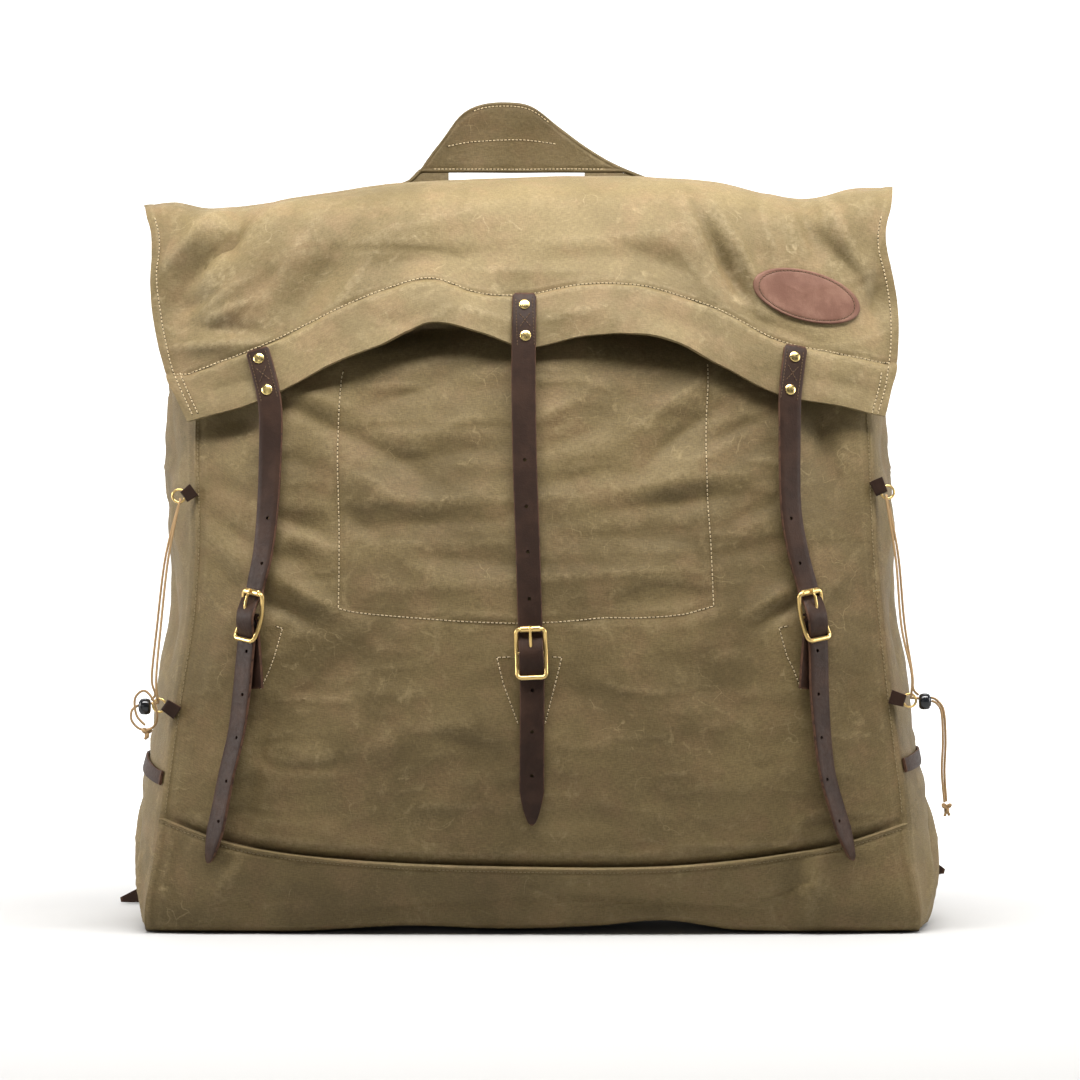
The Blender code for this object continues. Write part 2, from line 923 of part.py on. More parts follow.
def make_gusset(side):
    """A side gusset between the front and back seams, fullest at half its depth."""
    sign = -1 if side == "left" else 1
    rows = []
    lowest = CANVAS + SEAM_GAP
    between = [z for z in front_edge_levels() if lowest + 2 * MM < z < GUSSET_TOP]
    heights = [lowest, *between, GUSSET_TOP]
    for z in heights:
        seam, full = level(f"seam_{side}", z), level(f"side_{side}", z)
        rear = seam * REAR_SPREAD
        corner = CORNER_REACH * max(0.0, 1 - z / (14 * MM)) ** 2
        front = level("seam_y", z) + CANVAS + SEAM_GAP + corner
        back = back_y(1, z) - CANVAS - BACK_GAP
        bulge = full - (seam + rear) / 2
        row = []
        for n in range(GUSSET_COLUMNS + 1):
            v = n / GUSSET_COLUMNS
            fullness = sin(pi * v) ** 0.75 if 0 < v < 1 else 0
            x = seam + (rear - seam) * v + bulge * fullness - sign * 0.4 * MM
            row.append((x, front + (back - front) * v, z))
        rows.append(row)
    for share in (0.5, 1.0):
        tuck = [share * sin(pi * n / GUSSET_COLUMNS) ** 1.2 for n in range(GUSSET_COLUMNS + 1)]
        row = []
        for (x, y, z), rise in zip(rows[-1] if share == 0.5 else rows[-2], tuck):
            row.append((x - sign * GUSSET_LEAN * rise * share, y, z + GUSSET_TUCK * rise + share * 6 * MM))
        rows.append(row)
    if side == "left":
        rows = [row[::-1] for row in rows]
    return sheet(f"gusset_{side}", rows, CANVAS, "waxed_canvas")


def flap_column(u):
    """The flap's line from its back hem over the top to its lower edge, at one share of its width."""
    share = (u + 1) / 2

    def x_at(z):
        left, right = smooth(FLAP_SIDE, "left", z), smooth(FLAP_SIDE, "right", z)
        return left + (right - left) * share

    crest = smooth(CREST, "z", x_at(590))
    edge_x = x_at(smooth(FLAP_HEM, "edge", x_at(440)))
    edge_z = smooth(FLAP_HEM, "edge", edge_x)
    stitch_x = x_at(smooth(FLAP_HEM, "stitch", x_at(480)))
    stitch_z = smooth(FLAP_HEM, "stitch", stitch_x)
    stand = smooth(FLAP_HEM, "stand", edge_x) * MM
    back_x = FLAP_BACK_HALF * u
    rear = (back_y(u, FLAP_BACK_HEM_Z * MM) + CANVAS) / MM + FLAP_BACK_STAND
    line = [(back_x, rear, FLAP_BACK_HEM_Z), (back_x, rear - 1, FLAP_BACK_TOP_Z)]
    for turn in FLAP_TURN:
        z = crest - turn.drop
        toward = min(1.0, (78 - turn.y) / 70)
        line.append((back_x + (x_at(z) - back_x) * toward, turn.y, z))
    mouth_x = x_at(MOUTH_Z)
    mouth_y = front_y(mouth_x * MM, MOUTH_Z * MM) / MM - MOUTH_STAND
    for turn in FLAP_SHOULDER:
        z = crest + (MOUTH_Z - crest) * turn.down
        line.append((x_at(z), mouth_y * turn.forward, z))
    stitch_y = front_y(stitch_x * MM, stitch_z * MM) - BAND_STAND - stand * 0.45
    edge_y = front_y(edge_x * MM, edge_z * MM) - BAND_STAND - stand
    brow_z = (MOUTH_Z + stitch_z) / 2
    brow_y = front_y(x_at(brow_z) * MM, brow_z * MM) / MM - BROW_STAND
    line.append((x_at(brow_z), brow_y, brow_z))
    middle = ((stitch_x + edge_x) / 2, (stitch_y + edge_y) / 2 / MM - 0.8, (stitch_z + edge_z) / 2)
    line += [(stitch_x, stitch_y / MM, stitch_z), middle, (edge_x, edge_y / MM, edge_z)]
    return [Vector(p) * MM for p in line]


def make_flap():
    """The flap: sewn on the back, over the top with stiff side ears, down over the front."""
    columns = []
    for n in range(FLAP_COLUMNS + 1):
        u = 2 * n / FLAP_COLUMNS - 1
        column = through(flap_column(u), FLAP_ROWS + 1)
        columns.append([(p.x, p.y + flap_fold(p), p.z) for p in column])
    rows = [[column[k] for column in columns] for k in range(FLAP_ROWS, -1, -1)]
    return sheet("flap", rows, CANVAS, "waxed_canvas")


def flap_fold(point):
    """The flap's folds, only on its front."""
    if point.y > 0:
        return 0.0
    return fold_depth(FLAP_FOLDS, point.x, point.z) * min(1.0, -point.y / (40 * MM))


def taut(limits):
    """A strap pulled tight over what lies behind it: never behind its limits, straight between."""
    line = list(limits)
    for _ in range(400):
        for k in range(1, len(line) - 1):
            line[k] = min(limits[k], (line[k - 1] + line[k + 1]) / 2)
    return line


def beside(centres, half_widths, sign):
    """The edge of a strap on one side of its middle line, seen from the front."""
    edge = []
    for k, (x, z) in enumerate(centres):
        before, after = centres[max(k - 1, 0)], centres[min(k + 1, len(centres) - 1)]
        length = hypot(after[0] - before[0], after[1] - before[1])
        side = ((after[1] - before[1]) / length, -(after[0] - before[0]) / length)
        edge.append((x + sign * side[0] * half_widths[k], z + sign * side[1] * half_widths[k]))
    return edge


def laid_ribbon(name, centres, half_widths, surface, wall, finish, gap=LAY_GAP):
    """A flat strap pulled tight over what lies behind it, from a line of (x, z) centres."""
    middle = [Vector(place) for place in centres]
    edges = []
    for sign in (-1, 1):
        places = [Vector(place) for place in beside(centres, half_widths, sign)]
        limits = []
        for k in range(len(places)):
            probes = []
            for step in range(-PROBES, PROBES + 1):
                n = min(max(k + (step > 0) - (step < 0), 0), len(places) - 1)
                share = abs(step) / PROBES / 2
                outer, inner = places[k].lerp(places[n], share), middle[k].lerp(middle[n], share)
                probes += [outer.lerp(inner, t / 4) for t in range(5)]
            limits.append(min(surface.front(*probe) for probe in probes) - gap)
        edges.append([(p.x, y, p.y) for p, y in zip(places, taut(limits))])
    rows = [list(row) for row in zip(*edges)]
    return sheet(name, rows, wall, finish, offset=1.0)


def strap_stations(strap):
    """Even stations down a closing strap, from its top end to its tip."""
    route = [(p.x * MM, 0, p.z * MM) for p in strap.route]
    length = sum(hypot(a[0] - b[0], a[2] - b[2]) for a, b in zip(route, route[1:]))
    return [(p.x, p.z) for p in through(route, round(length / STRAP_STEP) + 1)]


def tip_widths(centres, half):
    """Half widths along a strap whose last stretch comes to a rounded point."""
    widths = []
    end = centres[-1]
    for x, z in centres:
        away = hypot(x - end[0], z - end[1])
        share = min(1.0, away / (24 * MM))
        widths.append(half * (0.16 + 0.84 * share**0.6))
    return widths


def bar_depth(strap, surface):
    """How far forward a buckle's middle bar lies."""
    across = (-0.5, -0.25, 0, 0.25, 0.5)
    return min(surface.front(*on_buckle(strap, t * BUCKLE_WIDTH, 0)) for t in across) - BAR_STAND


def make_buckle_tab(strap, surface):
    """The leather tab that holds a buckle: doubled, sewn in at its foot, looped round the bar."""
    name = f"buckle_tab_{strap.side}"
    foot = Vector((strap.tab_foot.x * MM, strap.tab_foot.z * MM))
    head = Vector(on_buckle(strap, 0, 0))
    shares = (0, 0.3, 0.6, 0.82, 1.0)
    centres = [tuple(foot.lerp(head, t)) for t in shares]
    half_widths = [6.2 * MM, 7 * MM, 7.2 * MM, 7.2 * MM, 8.2 * MM]
    tab = laid_ribbon(name, centres, half_widths, surface, TAB_WALL, "strap_leather")
    y = bar_depth(strap, surface)
    loop = bar(f"loop_{strap.side}", strap, 0, y, LOOP_RADIUS, 8.2 * MM, 8)
    combine(tab, loop, "UNION")
    bore = bar(f"bore_{strap.side}", strap, 0, y, BAR_RADIUS + 0.35 * MM, 12 * MM, 8)
    combine(tab, bore, "DIFFERENCE")
    combine(tab, prong_way(strap, y), "DIFFERENCE")
    return tab


def prong_way(strap, bar_y):
    """The slot that the prong takes through the tab's loop."""
    points = []
    for z, y in ((0.4 * MM, 0.2 * MM), (2.2 * MM, -2.4 * MM), (PRONG_HOLE, -6.5 * MM)):
        x, height = on_buckle(strap, 0, z)
        points.append((x, bar_y + y, height))
    return as_mesh(
        tube(f"tab_slot_{strap.side}", points, PRONG_RADIUS + 0.5 * MM, "brass", resolution=1)
    )


def make_strap(strap, surface):
    """One closing strap from its riveted top down to its tip."""
    centres = strap_stations(strap)
    widths = tip_widths(centres, STRAP_WIDTH / 2)
    made = laid_ribbon(
        f"strap_{strap.side}", centres, widths, surface, STRAP, "strap_leather", gap=SEAM_GAP
    )
    for number, z in enumerate(strap.holes):
        x = strap_x(strap, z * MM)
        hole = turned(
            f"hole_{strap.side}_{number}",
            [(HOLE_RADIUS, -30 * MM), (HOLE_RADIUS, 30 * MM)],
            6,
            (x, surface.front(x, z * MM) - STRAP, z * MM),
            (0, -1, 0),
            "strap_leather",
        )
        combine(made, hole, "DIFFERENCE")
    return made


def strap_x(strap, z):
    """The middle of a closing strap at a height."""
    centres = strap_stations(strap)
    for (xa, za), (xb, zb) in zip(centres, centres[1:]):
        if za >= z >= zb:
            return xa + (xb - xa) * (za - z) / (za - zb)
    return centres[-1][0]


def frame_points(strap, top_y, bar_y, low_y):
    """The buckle frame's wire: a rectangle with round corners that stands forward at both ends."""
    half_w = BUCKLE_WIDTH / 2 - BUCKLE_WIRE
    half_h = BUCKLE_HEIGHT / 2 - BUCKLE_WIRE
    corner = 3.2 * MM
    outline = []
    for cx, cz, start in ((-1, 1, 180), (1, 1, 90), (1, -1, 0), (-1, -1, -90)):
        if cz * cx == -1:
            outline.append((cx * half_w, 0))
        for step in (0, 45, 90):
            a = radians(start - step)
            outline.append(
                (cx * (half_w - corner) + corner * cos(a), cz * (half_h - corner) + corner * sin(a))
            )
    points = []
    for x, z in outline:
        end_y = top_y if z > 0 else low_y
        y = bar_y + (end_y - bar_y) * abs(z / half_h) ** 1.4
        px, pz = on_buckle(strap, x, z)
        points.append((px, y, pz))
    return points


def on_buckle(strap, x, z):
    """A point of the buckle's own plane, turned with it, as world x and z."""
    tilt = radians(strap.tilt)
    return (
        strap.buckle.x * MM + x * cos(tilt) + z * sin(tilt),
        strap.buckle.z * MM + z * cos(tilt) - x * sin(tilt),
    )


def bar(name, strap, z, y, radius, half_length, sides, bore=0.0):
    """A straight bar or sleeve across the buckle."""
    x0, z0 = on_buckle(strap, 0, z)
    x1, z1 = on_buckle(strap, 1, z)
    profile = [(radius, -half_length), (radius, half_length)]
    if bore:
        profile = [(bore, -half_length)] + profile + [(bore, half_length), (bore, -half_length)]
        return sleeve(name, profile, sides, (x0, y, z0), (x1 - x0, 0, z1 - z0))
    return turned(name, profile, sides, (x0, y, z0), (x1 - x0, 0, z1 - z0), "brass")


def sleeve(name, profile, sides, centre, axis):
    """A turned ring whose profile closes on itself."""
    form = bmesh.new()
    rings = []
    for radius, height in profile[:-1]:
        angles = [2 * pi * k / sides for k in range(sides)]
        rings.append([form.verts.new((radius * cos(a), radius * sin(a), height)) for a in angles])
    rings.append(rings[0])
    for low, high in zip(rings, rings[1:]):
        for k in range(sides):
            n = (k + 1) % sides
            form.faces.new((low[k], low[n], high[n], high[k]))
    turn = Vector((0, 0, 1)).rotation_difference(Vector(axis)).to_matrix().to_4x4()
    bmesh.ops.transform(form, matrix=Matrix.Translation(centre) @ turn, verts=form.verts)
    return solid(name, form, "brass")


def make_buckle(strap, strap_object, bar_y):
    """The brass frame with its middle bar, its roller and its prong, threaded by the strap."""
    skin = Surface(strap_object)
    half_h = BUCKLE_HEIGHT / 2 - BUCKLE_WIRE
    depths = {}
    for place, z, radius in (("top", half_h, ROLLER_RADIUS), ("low", -half_h, BUCKLE_WIRE)):
        probes = [on_buckle(strap, dx * MM, z + dz * MM) for dx in (-9, 0, 9) for dz in (-2.4, 0, 2.4)]
        depths[place] = min(skin.front(*probe) for probe in probes) - LAY_GAP - radius
    frame = as_mesh(
        tube(
            f"buckle_{strap.side}",
            frame_points(strap, depths["top"], bar_y, depths["low"]),
            BUCKLE_WIRE,
            "brass",
            resolution=1,
            closed=True,
        )
    )
    middle = bar(f"middle_bar_{strap.side}", strap, 0, bar_y, BAR_RADIUS, BUCKLE_WIDTH / 2 - BUCKLE_WIRE, 8)
    combine(frame, middle, "UNION")
    bar(
        f"roller_{strap.side}",
        strap,
        half_h,
        depths["top"],
        ROLLER_RADIUS,
        BUCKLE_WIDTH / 2 - 5.2 * MM,
        8,
        bore=BUCKLE_WIRE + 0.3 * MM,
    )
    rest_y = depths["top"] - ROLLER_RADIUS - PRONG_RADIUS - 0.3 * MM
    hole_x, hole_z = on_buckle(strap, 0, PRONG_HOLE)
    strap_front = skin.front(hole_x, hole_z)
    line = []
    for z, y in (
        (1.6 * MM, bar_y - BAR_RADIUS - PRONG_RADIUS - 0.35 * MM),
        (PRONG_HOLE - 3.0 * MM, strap_front + STRAP + 0.2 * MM),
        (PRONG_HOLE + 0.6 * MM, strap_front - 1.4 * MM),
        (half_h - 4.2 * MM, rest_y),
        (half_h + 2.4 * MM, rest_y),
    ):
        x, height = on_buckle(strap, 0, z)
        line.append((x, y, height))
    tube(f"prong_{strap.side}", line, PRONG_RADIUS, "brass", resolution=1)
    way = as_mesh(
        tube(f"prong_way_{strap.side}", line[:4], PRONG_RADIUS + 0.6 * MM, "brass", resolution=1)
    )
    combine(strap_object, way, "DIFFERENCE")


def make_rivets(places, surface, prefix, facing=-1):
    """Domed rivet heads, square to the strap or leather piece that they hold."""
    for number, (x, z) in enumerate(places, 1):
        x, z = x * MM, z * MM
        point, normal = surface.reach((x, facing, z), (0, -facing, 0))
        normal = normal if normal.y * facing > 0 else -normal
        turned(
            f"{prefix}_{number}",
            [
                (RIVET_RADIUS, 0),
                (RIVET_RADIUS, 0.5 * MM),
                (RIVET_RADIUS * 0.6, RIVET_RISE),
                (0, RIVET_RISE * 1.1),
            ],
            8,
            point + normal * LAY_GAP,
            normal,
            "brass",
        )


def make_handle():
    """The haul handle: a wide canvas band that stands up behind the flap on two sewn legs."""
    lefts = [HANDLE[0].x + (HANDLE_GRIP[0] / MM - HANDLE[0].x) * k / 4 for k in range(5)]
    middles = [(HANDLE_GRIP[0] + (HANDLE_GRIP[1] - HANDLE_GRIP[0]) * k / 8) / MM for k in range(1, 8)]
    rights = [HANDLE_GRIP[1] / MM + (HANDLE[-1].x - HANDLE_GRIP[1] / MM) * k / 4 for k in range(5)]
    columns = [(x, True) for x in lefts] + [(x, False) for x in middles] + [(x, True) for x in rights]
    leg_shares = (0, 0.33, 0.66)
    rows = []
    foot_y = level("back_y", FLAP_BACK_HEM_Z * MM) + CANVAS + FLAP_BACK_STAND * MM + HANDLE_WALL / 2
    for kind, share in [("leg", s) for s in leg_shares] + [("arch", s) for s in (0, 0.5, 1)]:
        row = []
        for x, leg in columns:
            top = smooth(HANDLE, "top", x) * MM
            under = min(HANDLE_UNDER, top - 4 * MM) if leg else HANDLE_UNDER
            if kind == "leg" and not leg:
                row.append(None)
                continue
            z = HANDLE_FOOT + (under - HANDLE_FOOT) * share if kind == "leg" else under + (top - under) * share
            rise = (z - HANDLE_FOOT) / (677 * MM - HANDLE_FOOT)
            row.append((x * MM, foot_y + HANDLE_LEAN * sin(pi * min(1, rise * 0.9)), z))
        rows.append(row)
    return sheet("haul_handle", rows, HANDLE_WALL, "waxed_canvas", offset=0.0)


def make_patch(surface):
    """The bare oval leather patch on the flap."""
    form = bmesh.new()
    rings = []
    for share in (0.0, 0.5, 1.0):
        ring = []
        for k in range(PATCH_SIDES if share else 1):
            a = 2 * pi * k / PATCH_SIDES
            lx, lz = PATCH_LONG * share * cos(a), PATCH_SHORT * share * sin(a)
            x = PATCH_CENTRE[0] + lx * cos(PATCH_TILT) - lz * sin(PATCH_TILT)
            z = PATCH_CENTRE[1] + lx * sin(PATCH_TILT) + lz * cos(PATCH_TILT)
            ring.append(form.verts.new((x, surface.front(x, z) - 2 * LAY_GAP, z)))
        rings.append(ring)
    for k in range(PATCH_SIDES):
        n = (k + 1) % PATCH_SIDES
        form.faces.new((rings[0][0], rings[1][k], rings[1][n]))
        form.faces.new((rings[1][k], rings[2][k], rings[2][n], rings[1][n]))
    mesh = bpy.data.meshes.new("flap_patch")
    form.to_mesh(mesh)
    form.free()
    made = bpy.data.objects.new("flap_patch", mesh)
    bpy.context.collection.objects.link(made)
    thick = made.modifiers.new("Thickness", "SOLIDIFY")
    thick.thickness = THIN_LEATHER
    thick.offset = 1.0
    mesh.materials.append(material("patch_leather"))
    mesh.shade_smooth()
    mesh.set_sharp_from_angle(angle=radians(40))


def ring_points(mount, count=12):
    """The wire's middle line of a ring that hangs flat against the side."""
    points = []
    for k in range(count):
        a = 2 * pi * k / count
        points.append(
            (
                mount.ring_x * MM + (RING_RADIUS - RING_WIRE) * cos(a),
                mount.ring_y * MM,
                mount.ring_z * MM + (RING_RADIUS - RING_WIRE) * sin(a),
            )
        )
    return points


def make_ring_mount(mount):
    """A ring and the leather tab that holds it at the front seam."""
    tube(f"ring_{mount.name}", ring_points(mount), RING_WIRE, "brass", resolution=0, closed=True)
    sign = -1 if mount.root_x < 0 else 1
    inner_wire = mount.ring_x * MM - sign * (RING_RADIUS - RING_WIRE)
    length = abs(inner_wire - mount.root_x * MM) + 2.6 * MM
    drop = mount.ring_z * MM - mount.root_z * MM
    turn = atan2(drop, abs(inner_wire - mount.root_x * MM))
    form = bmesh.new()
    outline = [(0, -5.6), (0, 5.6), (length / MM, 4.8), (length / MM, -4.8)]
    bottom = []
    for along, across in outline:
        x = mount.root_x * MM + sign * (along * cos(turn) - across * sin(turn)) * MM
        z = mount.root_z * MM + (along * sin(turn) + across * cos(turn)) * MM
        bottom.append(form.verts.new((x, mount.ring_y * MM - TAB_THICKNESS / 2, z)))
    face = form.faces.new(bottom)
    extruded = bmesh.ops.extrude_face_region(form, geom=[face])
    moved = [v for v in extruded["geom"] if isinstance(v, bmesh.types.BMVert)]
    bmesh.ops.translate(form, verts=moved, vec=(0, TAB_THICKNESS, 0))
    tab = solid(f"ring_tab_{mount.name}", form, "strap_leather")
    way = as_mesh(
        tube(
            f"ring_way_{mount.name}",
            ring_points(mount),
            RING_WIRE + 0.45 * MM,
            "brass",
            resolution=0,
            closed=True,
        )
    )
    combine(tab, way, "DIFFERENCE")


def dense_route(points, steps):
    """Points on a smooth curve through a route, that many for each of its spans."""
    given = [Vector(p) * MM for p in points]
    line = []
    for i, (a, b) in enumerate(zip(given, given[1:])):
        before, after = given[max(i - 1, 0)], given[min(i + 2, len(given) - 1)]
        for step in range(steps):
            t = step / steps
            line.append(
                0.5
                * (
                    2 * a
                    + (b - before) * t
                    + (2 * before - 5 * a + 4 * b - after) * t**2
                    + (3 * a - before - 3 * b + after) * t**3
                )
            )
    return line + [given[-1]]


def make_cords():
    """The laced side cords, their tails, locks and knots."""
    for side, route in SIDE_CORDS.items():
        tube(f"side_cord_{side}", dense_route(route, 2), CORD_RADIUS, "cord")
    for name, route in CORD_TAILS.items():
        tube(f"cord_tail_{name}", dense_route(route, 2), CORD_RADIUS, "cord")
    for side, x, z in LOCKS:
        half = LOCK_LENGTH / 2
        turned(
            f"cord_lock_{side}",
            [
                (LOCK_RADIUS * 0.75, -half),
                (LOCK_RADIUS, -half * 0.55),
                (LOCK_RADIUS, half * 0.55),
                (LOCK_RADIUS * 0.75, half),
            ],
            10,
            (x * MM, LOCK_Y, z * MM),
            (-1 if x < 0 else 1, 0, 0),
            "black_plastic",
        )
    for side, x, y, z in KNOTS:
        turned(
            f"cord_knot_{side}",
            [
                (0, -1.1 * KNOT_RADIUS),
                (0.8 * KNOT_RADIUS, -0.6 * KNOT_RADIUS),
                (KNOT_RADIUS, 0),
                (0.8 * KNOT_RADIUS, 0.6 * KNOT_RADIUS),
                (0, 1.1 * KNOT_RADIUS),
            ],
            8,
            (x * MM, y * MM, z * MM),
            (0, 0, 1),
            "cord",
        )


def make_side_band(band, gusset):
    """A leather band laid across a gusset from seam to seam."""
    sign = -1 if band.side == "left" else 1
    skin = Surface(gusset)
    rows = []
    front = level("seam_y", band.front_z * MM) + 4 * MM
    rear = back_y(1, band.rear_z * MM) - 6 * MM
    for k in range(GUSSET_COLUMNS * 2 + 1):
        v = k / GUSSET_COLUMNS / 2
        y = front + (rear - front) * v
        z = (band.front_z + (band.full_z - band.front_z) * sin(pi * v) + (band.rear_z - band.front_z) * v) * MM
        row = []
        for half in (-0.5, 0.5):
            height = z + half * SIDE_BAND_WIDTH
            hit = skin.reach((sign, y, height), (-sign, 0, 0))
            row.append((hit[0].x + sign * 2 * LAY_GAP, y, height))
        rows.append(row if sign < 0 else row[::-1])
    return sheet(f"side_band_{band.side}", rows, THIN_LEATHER, "strap_leather", offset=1.0)


def half_width_at(route, x):
    """Half a shoulder strap's width where it passes x."""
    rows = sorted((abs(p.x), p.half_width) for p in route)
    for (a, wa), (b, wb) in zip(rows, rows[1:]):
        if a <= abs(x) / MM <= b:
            return (wa + (wb - wa) * (abs(x) / MM - a) / (b - a)) * MM
    return (rows[-1] if abs(x) / MM > rows[-1][0] else rows[0])[1] * MM


def back_ribbon(name, route, surface, wall, count):
    """A leather strap behind the back, its inner face at the gaps that its route gives."""
    line = through([(p.x * MM, p.gap * MM, p.z * MM) for p in route], count)
    rows = []
    for k, p in enumerate(line):
        before, after = line[max(k - 1, 0)], line[min(k + 1, len(line) - 1)]
        length = hypot(after.x - before.x, after.z - before.z)
        side = ((after.z - before.z) / length, -(after.x - before.x) / length)
        half = half_width_at(route, p.x)
        ends = [(p.x + sign * side[0] * half, p.z + sign * side[1] * half) for sign in (-1, 1)]
        behind = max(surface.back(x, z, BACK_EDGE) for x, z in ends + [(p.x, p.z)])
        rows.append([(x, behind + p.y, max(z, SEAM_GAP)) for x, z in ends])
    return sheet(name, rows, wall, "strap_leather")


def make_yoke():
    """The leather yoke under the shoulder straps' upper ends."""
    rows = []
    for down in (0, 0.5, 1):
        half = YOKE_HALF * (1 - 0.12 * down)
        row = []
        for k in range(5):
            x = half * (1 - k / 2)
            z = YOKE_TOP - YOKE_HEIGHT * down
            row.append((x, YOKE_Y, z))
        rows.append(row)
    return sheet("shoulder_yoke", rows[::-1], YOKE_WALL, "strap_leather")


def make_shoulder_buckle(side, surface):
    """A shoulder strap's brass frame, lying over the strap near the base corner."""
    x0, z0, turn = SHOULDER_BUCKLES[side]
    turn = radians(turn)
    half_w, half_h = SHOULDER_BUCKLE_HALF
    outline = []
    for cx, cz, start in ((-1, 1, 180), (1, 1, 90), (1, -1, 0), (-1, -1, -90)):
        for step in (0, 45, 90):
            a = radians(start - step)
            outline.append((cx * (half_w - 3 * MM) + 3 * MM * cos(a), cz * (half_h - 3 * MM) + 3 * MM * sin(a)))
    places = []
    for x, z in outline:
        places.append((x0 * MM + x * cos(turn) + z * sin(turn), z0 * MM + z * cos(turn) - x * sin(turn)))
    y = max(surface.back(x, z, BACK_EDGE) for x, z in places)
    inner = [(x0 * MM + t * (x - x0 * MM), z0 * MM + t * (z - z0 * MM)) for x, z in places for t in (0.4, 0.7)]
    y = max([y] + [surface.back(x, z, BACK_EDGE) for x, z in inner]) + LAY_GAP + SHOULDER_WIRE
    tube(f"shoulder_buckle_{side}", [(x, y, z) for x, z in places], SHOULDER_WIRE, "brass", 1, closed=True)


def main():
    """Builds the pack piece by piece, from the cloth outward."""
    clear_scene()
    front = make_front_panel()
    base = make_base_panel()
    back = make_back_panel()
    gussets = {side: make_gusset(side) for side in ("left", "right")}
    flap = make_flap()
    make_handle()
    cloth = Surface(front, base, flap)
    make_patch(Surface(flap))
    for strap in STRAPS:
        tab = make_buckle_tab(strap, cloth)
        strap_object = make_strap(strap, Surface(front, base, flap, tab))
        make_buckle(strap, strap_object, bar_depth(strap, cloth))
        make_rivets(strap.rivets, Surface(strap_object), f"rivet_{strap.side}")
    for mount in RINGS:
        make_ring_mount(mount)
    make_cords()
    for band in SIDE_BANDS:
        make_side_band(band, gussets[band.side])
    yoke = make_yoke()
    rear = Surface(back, flap, yoke)
    shoulder_straps = []
    for side, route in SHOULDER_STRAPS.items():
        strap_object = back_ribbon(f"shoulder_strap_{side}", route, rear, SHOULDER_WALL, 18)
        shoulder_straps.append(strap_object)
        make_shoulder_buckle(side, Surface(strap_object, back))
    make_rivets(YOKE_RIVETS, Surface(*shoulder_straps), "yoke_rivet", facing=1)


main()
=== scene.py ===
"""Looks of a waxed canvas canoe pack: cloth, leather, brass and cord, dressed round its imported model.

The front faces -Y and +Z is up. Tables are in millimetres, and MM turns them into metres.
"""

import logging
from dataclasses import dataclass, field
from enum import Enum
from math import cos, hypot, pi, radians, sin
from typing import Callable, Iterable, NamedTuple, Sequence, Union

import bpy
import numpy as np
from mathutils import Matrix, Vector
from mathutils.bvhtree import BVHTree


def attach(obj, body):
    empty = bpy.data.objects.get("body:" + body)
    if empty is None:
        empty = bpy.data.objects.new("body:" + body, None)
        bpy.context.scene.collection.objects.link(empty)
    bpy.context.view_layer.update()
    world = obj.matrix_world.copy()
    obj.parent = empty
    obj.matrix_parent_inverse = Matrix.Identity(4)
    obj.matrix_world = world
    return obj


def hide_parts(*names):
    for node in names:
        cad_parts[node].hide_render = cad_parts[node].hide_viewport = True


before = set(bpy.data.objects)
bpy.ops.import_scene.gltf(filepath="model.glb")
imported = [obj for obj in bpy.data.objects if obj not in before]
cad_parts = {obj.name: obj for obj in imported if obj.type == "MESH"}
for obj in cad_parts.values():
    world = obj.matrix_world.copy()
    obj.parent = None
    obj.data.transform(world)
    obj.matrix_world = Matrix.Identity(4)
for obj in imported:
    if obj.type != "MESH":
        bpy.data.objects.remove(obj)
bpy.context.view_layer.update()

MM = 0.001
LOG = logging.getLogger("canoe_pack")
Array = np.ndarray
Points = Sequence[Sequence[float]]
Piece = bpy.types.Object
Number = Union[float, int]


# Sizes

CANVAS = 1.7 * MM
STRAP_WALL = 2.8 * MM
STRAP_WIDTH = 19 * MM
BODY_TOP = 546
MOUTH_Z = 547
MOUTH_STAND = 8
BROW_STAND = 7.5
BAND_STAND = 6.5
STITCH_PITCH = 3.15 * MM


def named(kind: type, *table: tuple) -> tuple:
    """A table's rows with its columns named."""
    return tuple(kind(*row) for row in table)


class Level(NamedTuple):
    """The body's section at one height."""

    z: float
    seam_left: float
    seam_right: float
    side_left: float
    side_right: float
    seam_y: float
    belly_y: float
    back_y: float


LEVELS = named(
    Level,
    (0, -303, 304, -313, 319, -103, -105, 104), (22, -302, 303, -315, 324, -108, -117, 108),
    (60, -295, 295, -319, 327, -110, -127, 111), (105, -289, 292, -318, 321, -108, -132, 113),
    (145, -284, 287, -308, 309, -105, -135, 114), (200, -276, 281, -305, 306, -100, -136, 114),
    (250, -269, 276, -295, 296, -94, -133, 112), (310, -266, 272, -297, 296, -87, -125, 109),
    (380, -268, 270, -300, 291, -79, -112, 104), (450, -267, 266, -297, 288, -70, -96, 98),
    (560, -258, 258, -284, 278, -54, -66, 86),
)


class Spot(NamedTuple):
    """A point seen from the front."""

    x: float
    z: float


BASE_SEAM = named(
    Spot,
    (-290, 91), (-240, 74), (-187, 64), (-101, 57), (0, 54), (88, 54), (148, 58), (196, 64), (237, 71),
    (294, 88),
)
BOTTOM_LIFT = named(
    Spot,
    (-310, 0), (-190, 0), (-100, 5), (-20, 2.5), (50, 5), (104, 9.5), (165, 1), (310, 0),
)
CREST = named(
    Spot,
    (-314, 580), (-290, 583), (-258, 577), (-191, 586), (-113, 598), (0, 603), (97, 603), (150, 599),
    (191, 589), (228, 585), (258, 594), (292, 595),
)


class FlapHem(NamedTuple):
    """The flap's lower edge: its height, its stitch line and how far it stands off the front."""

    x: float
    edge: float
    stitch: float
    stand: float


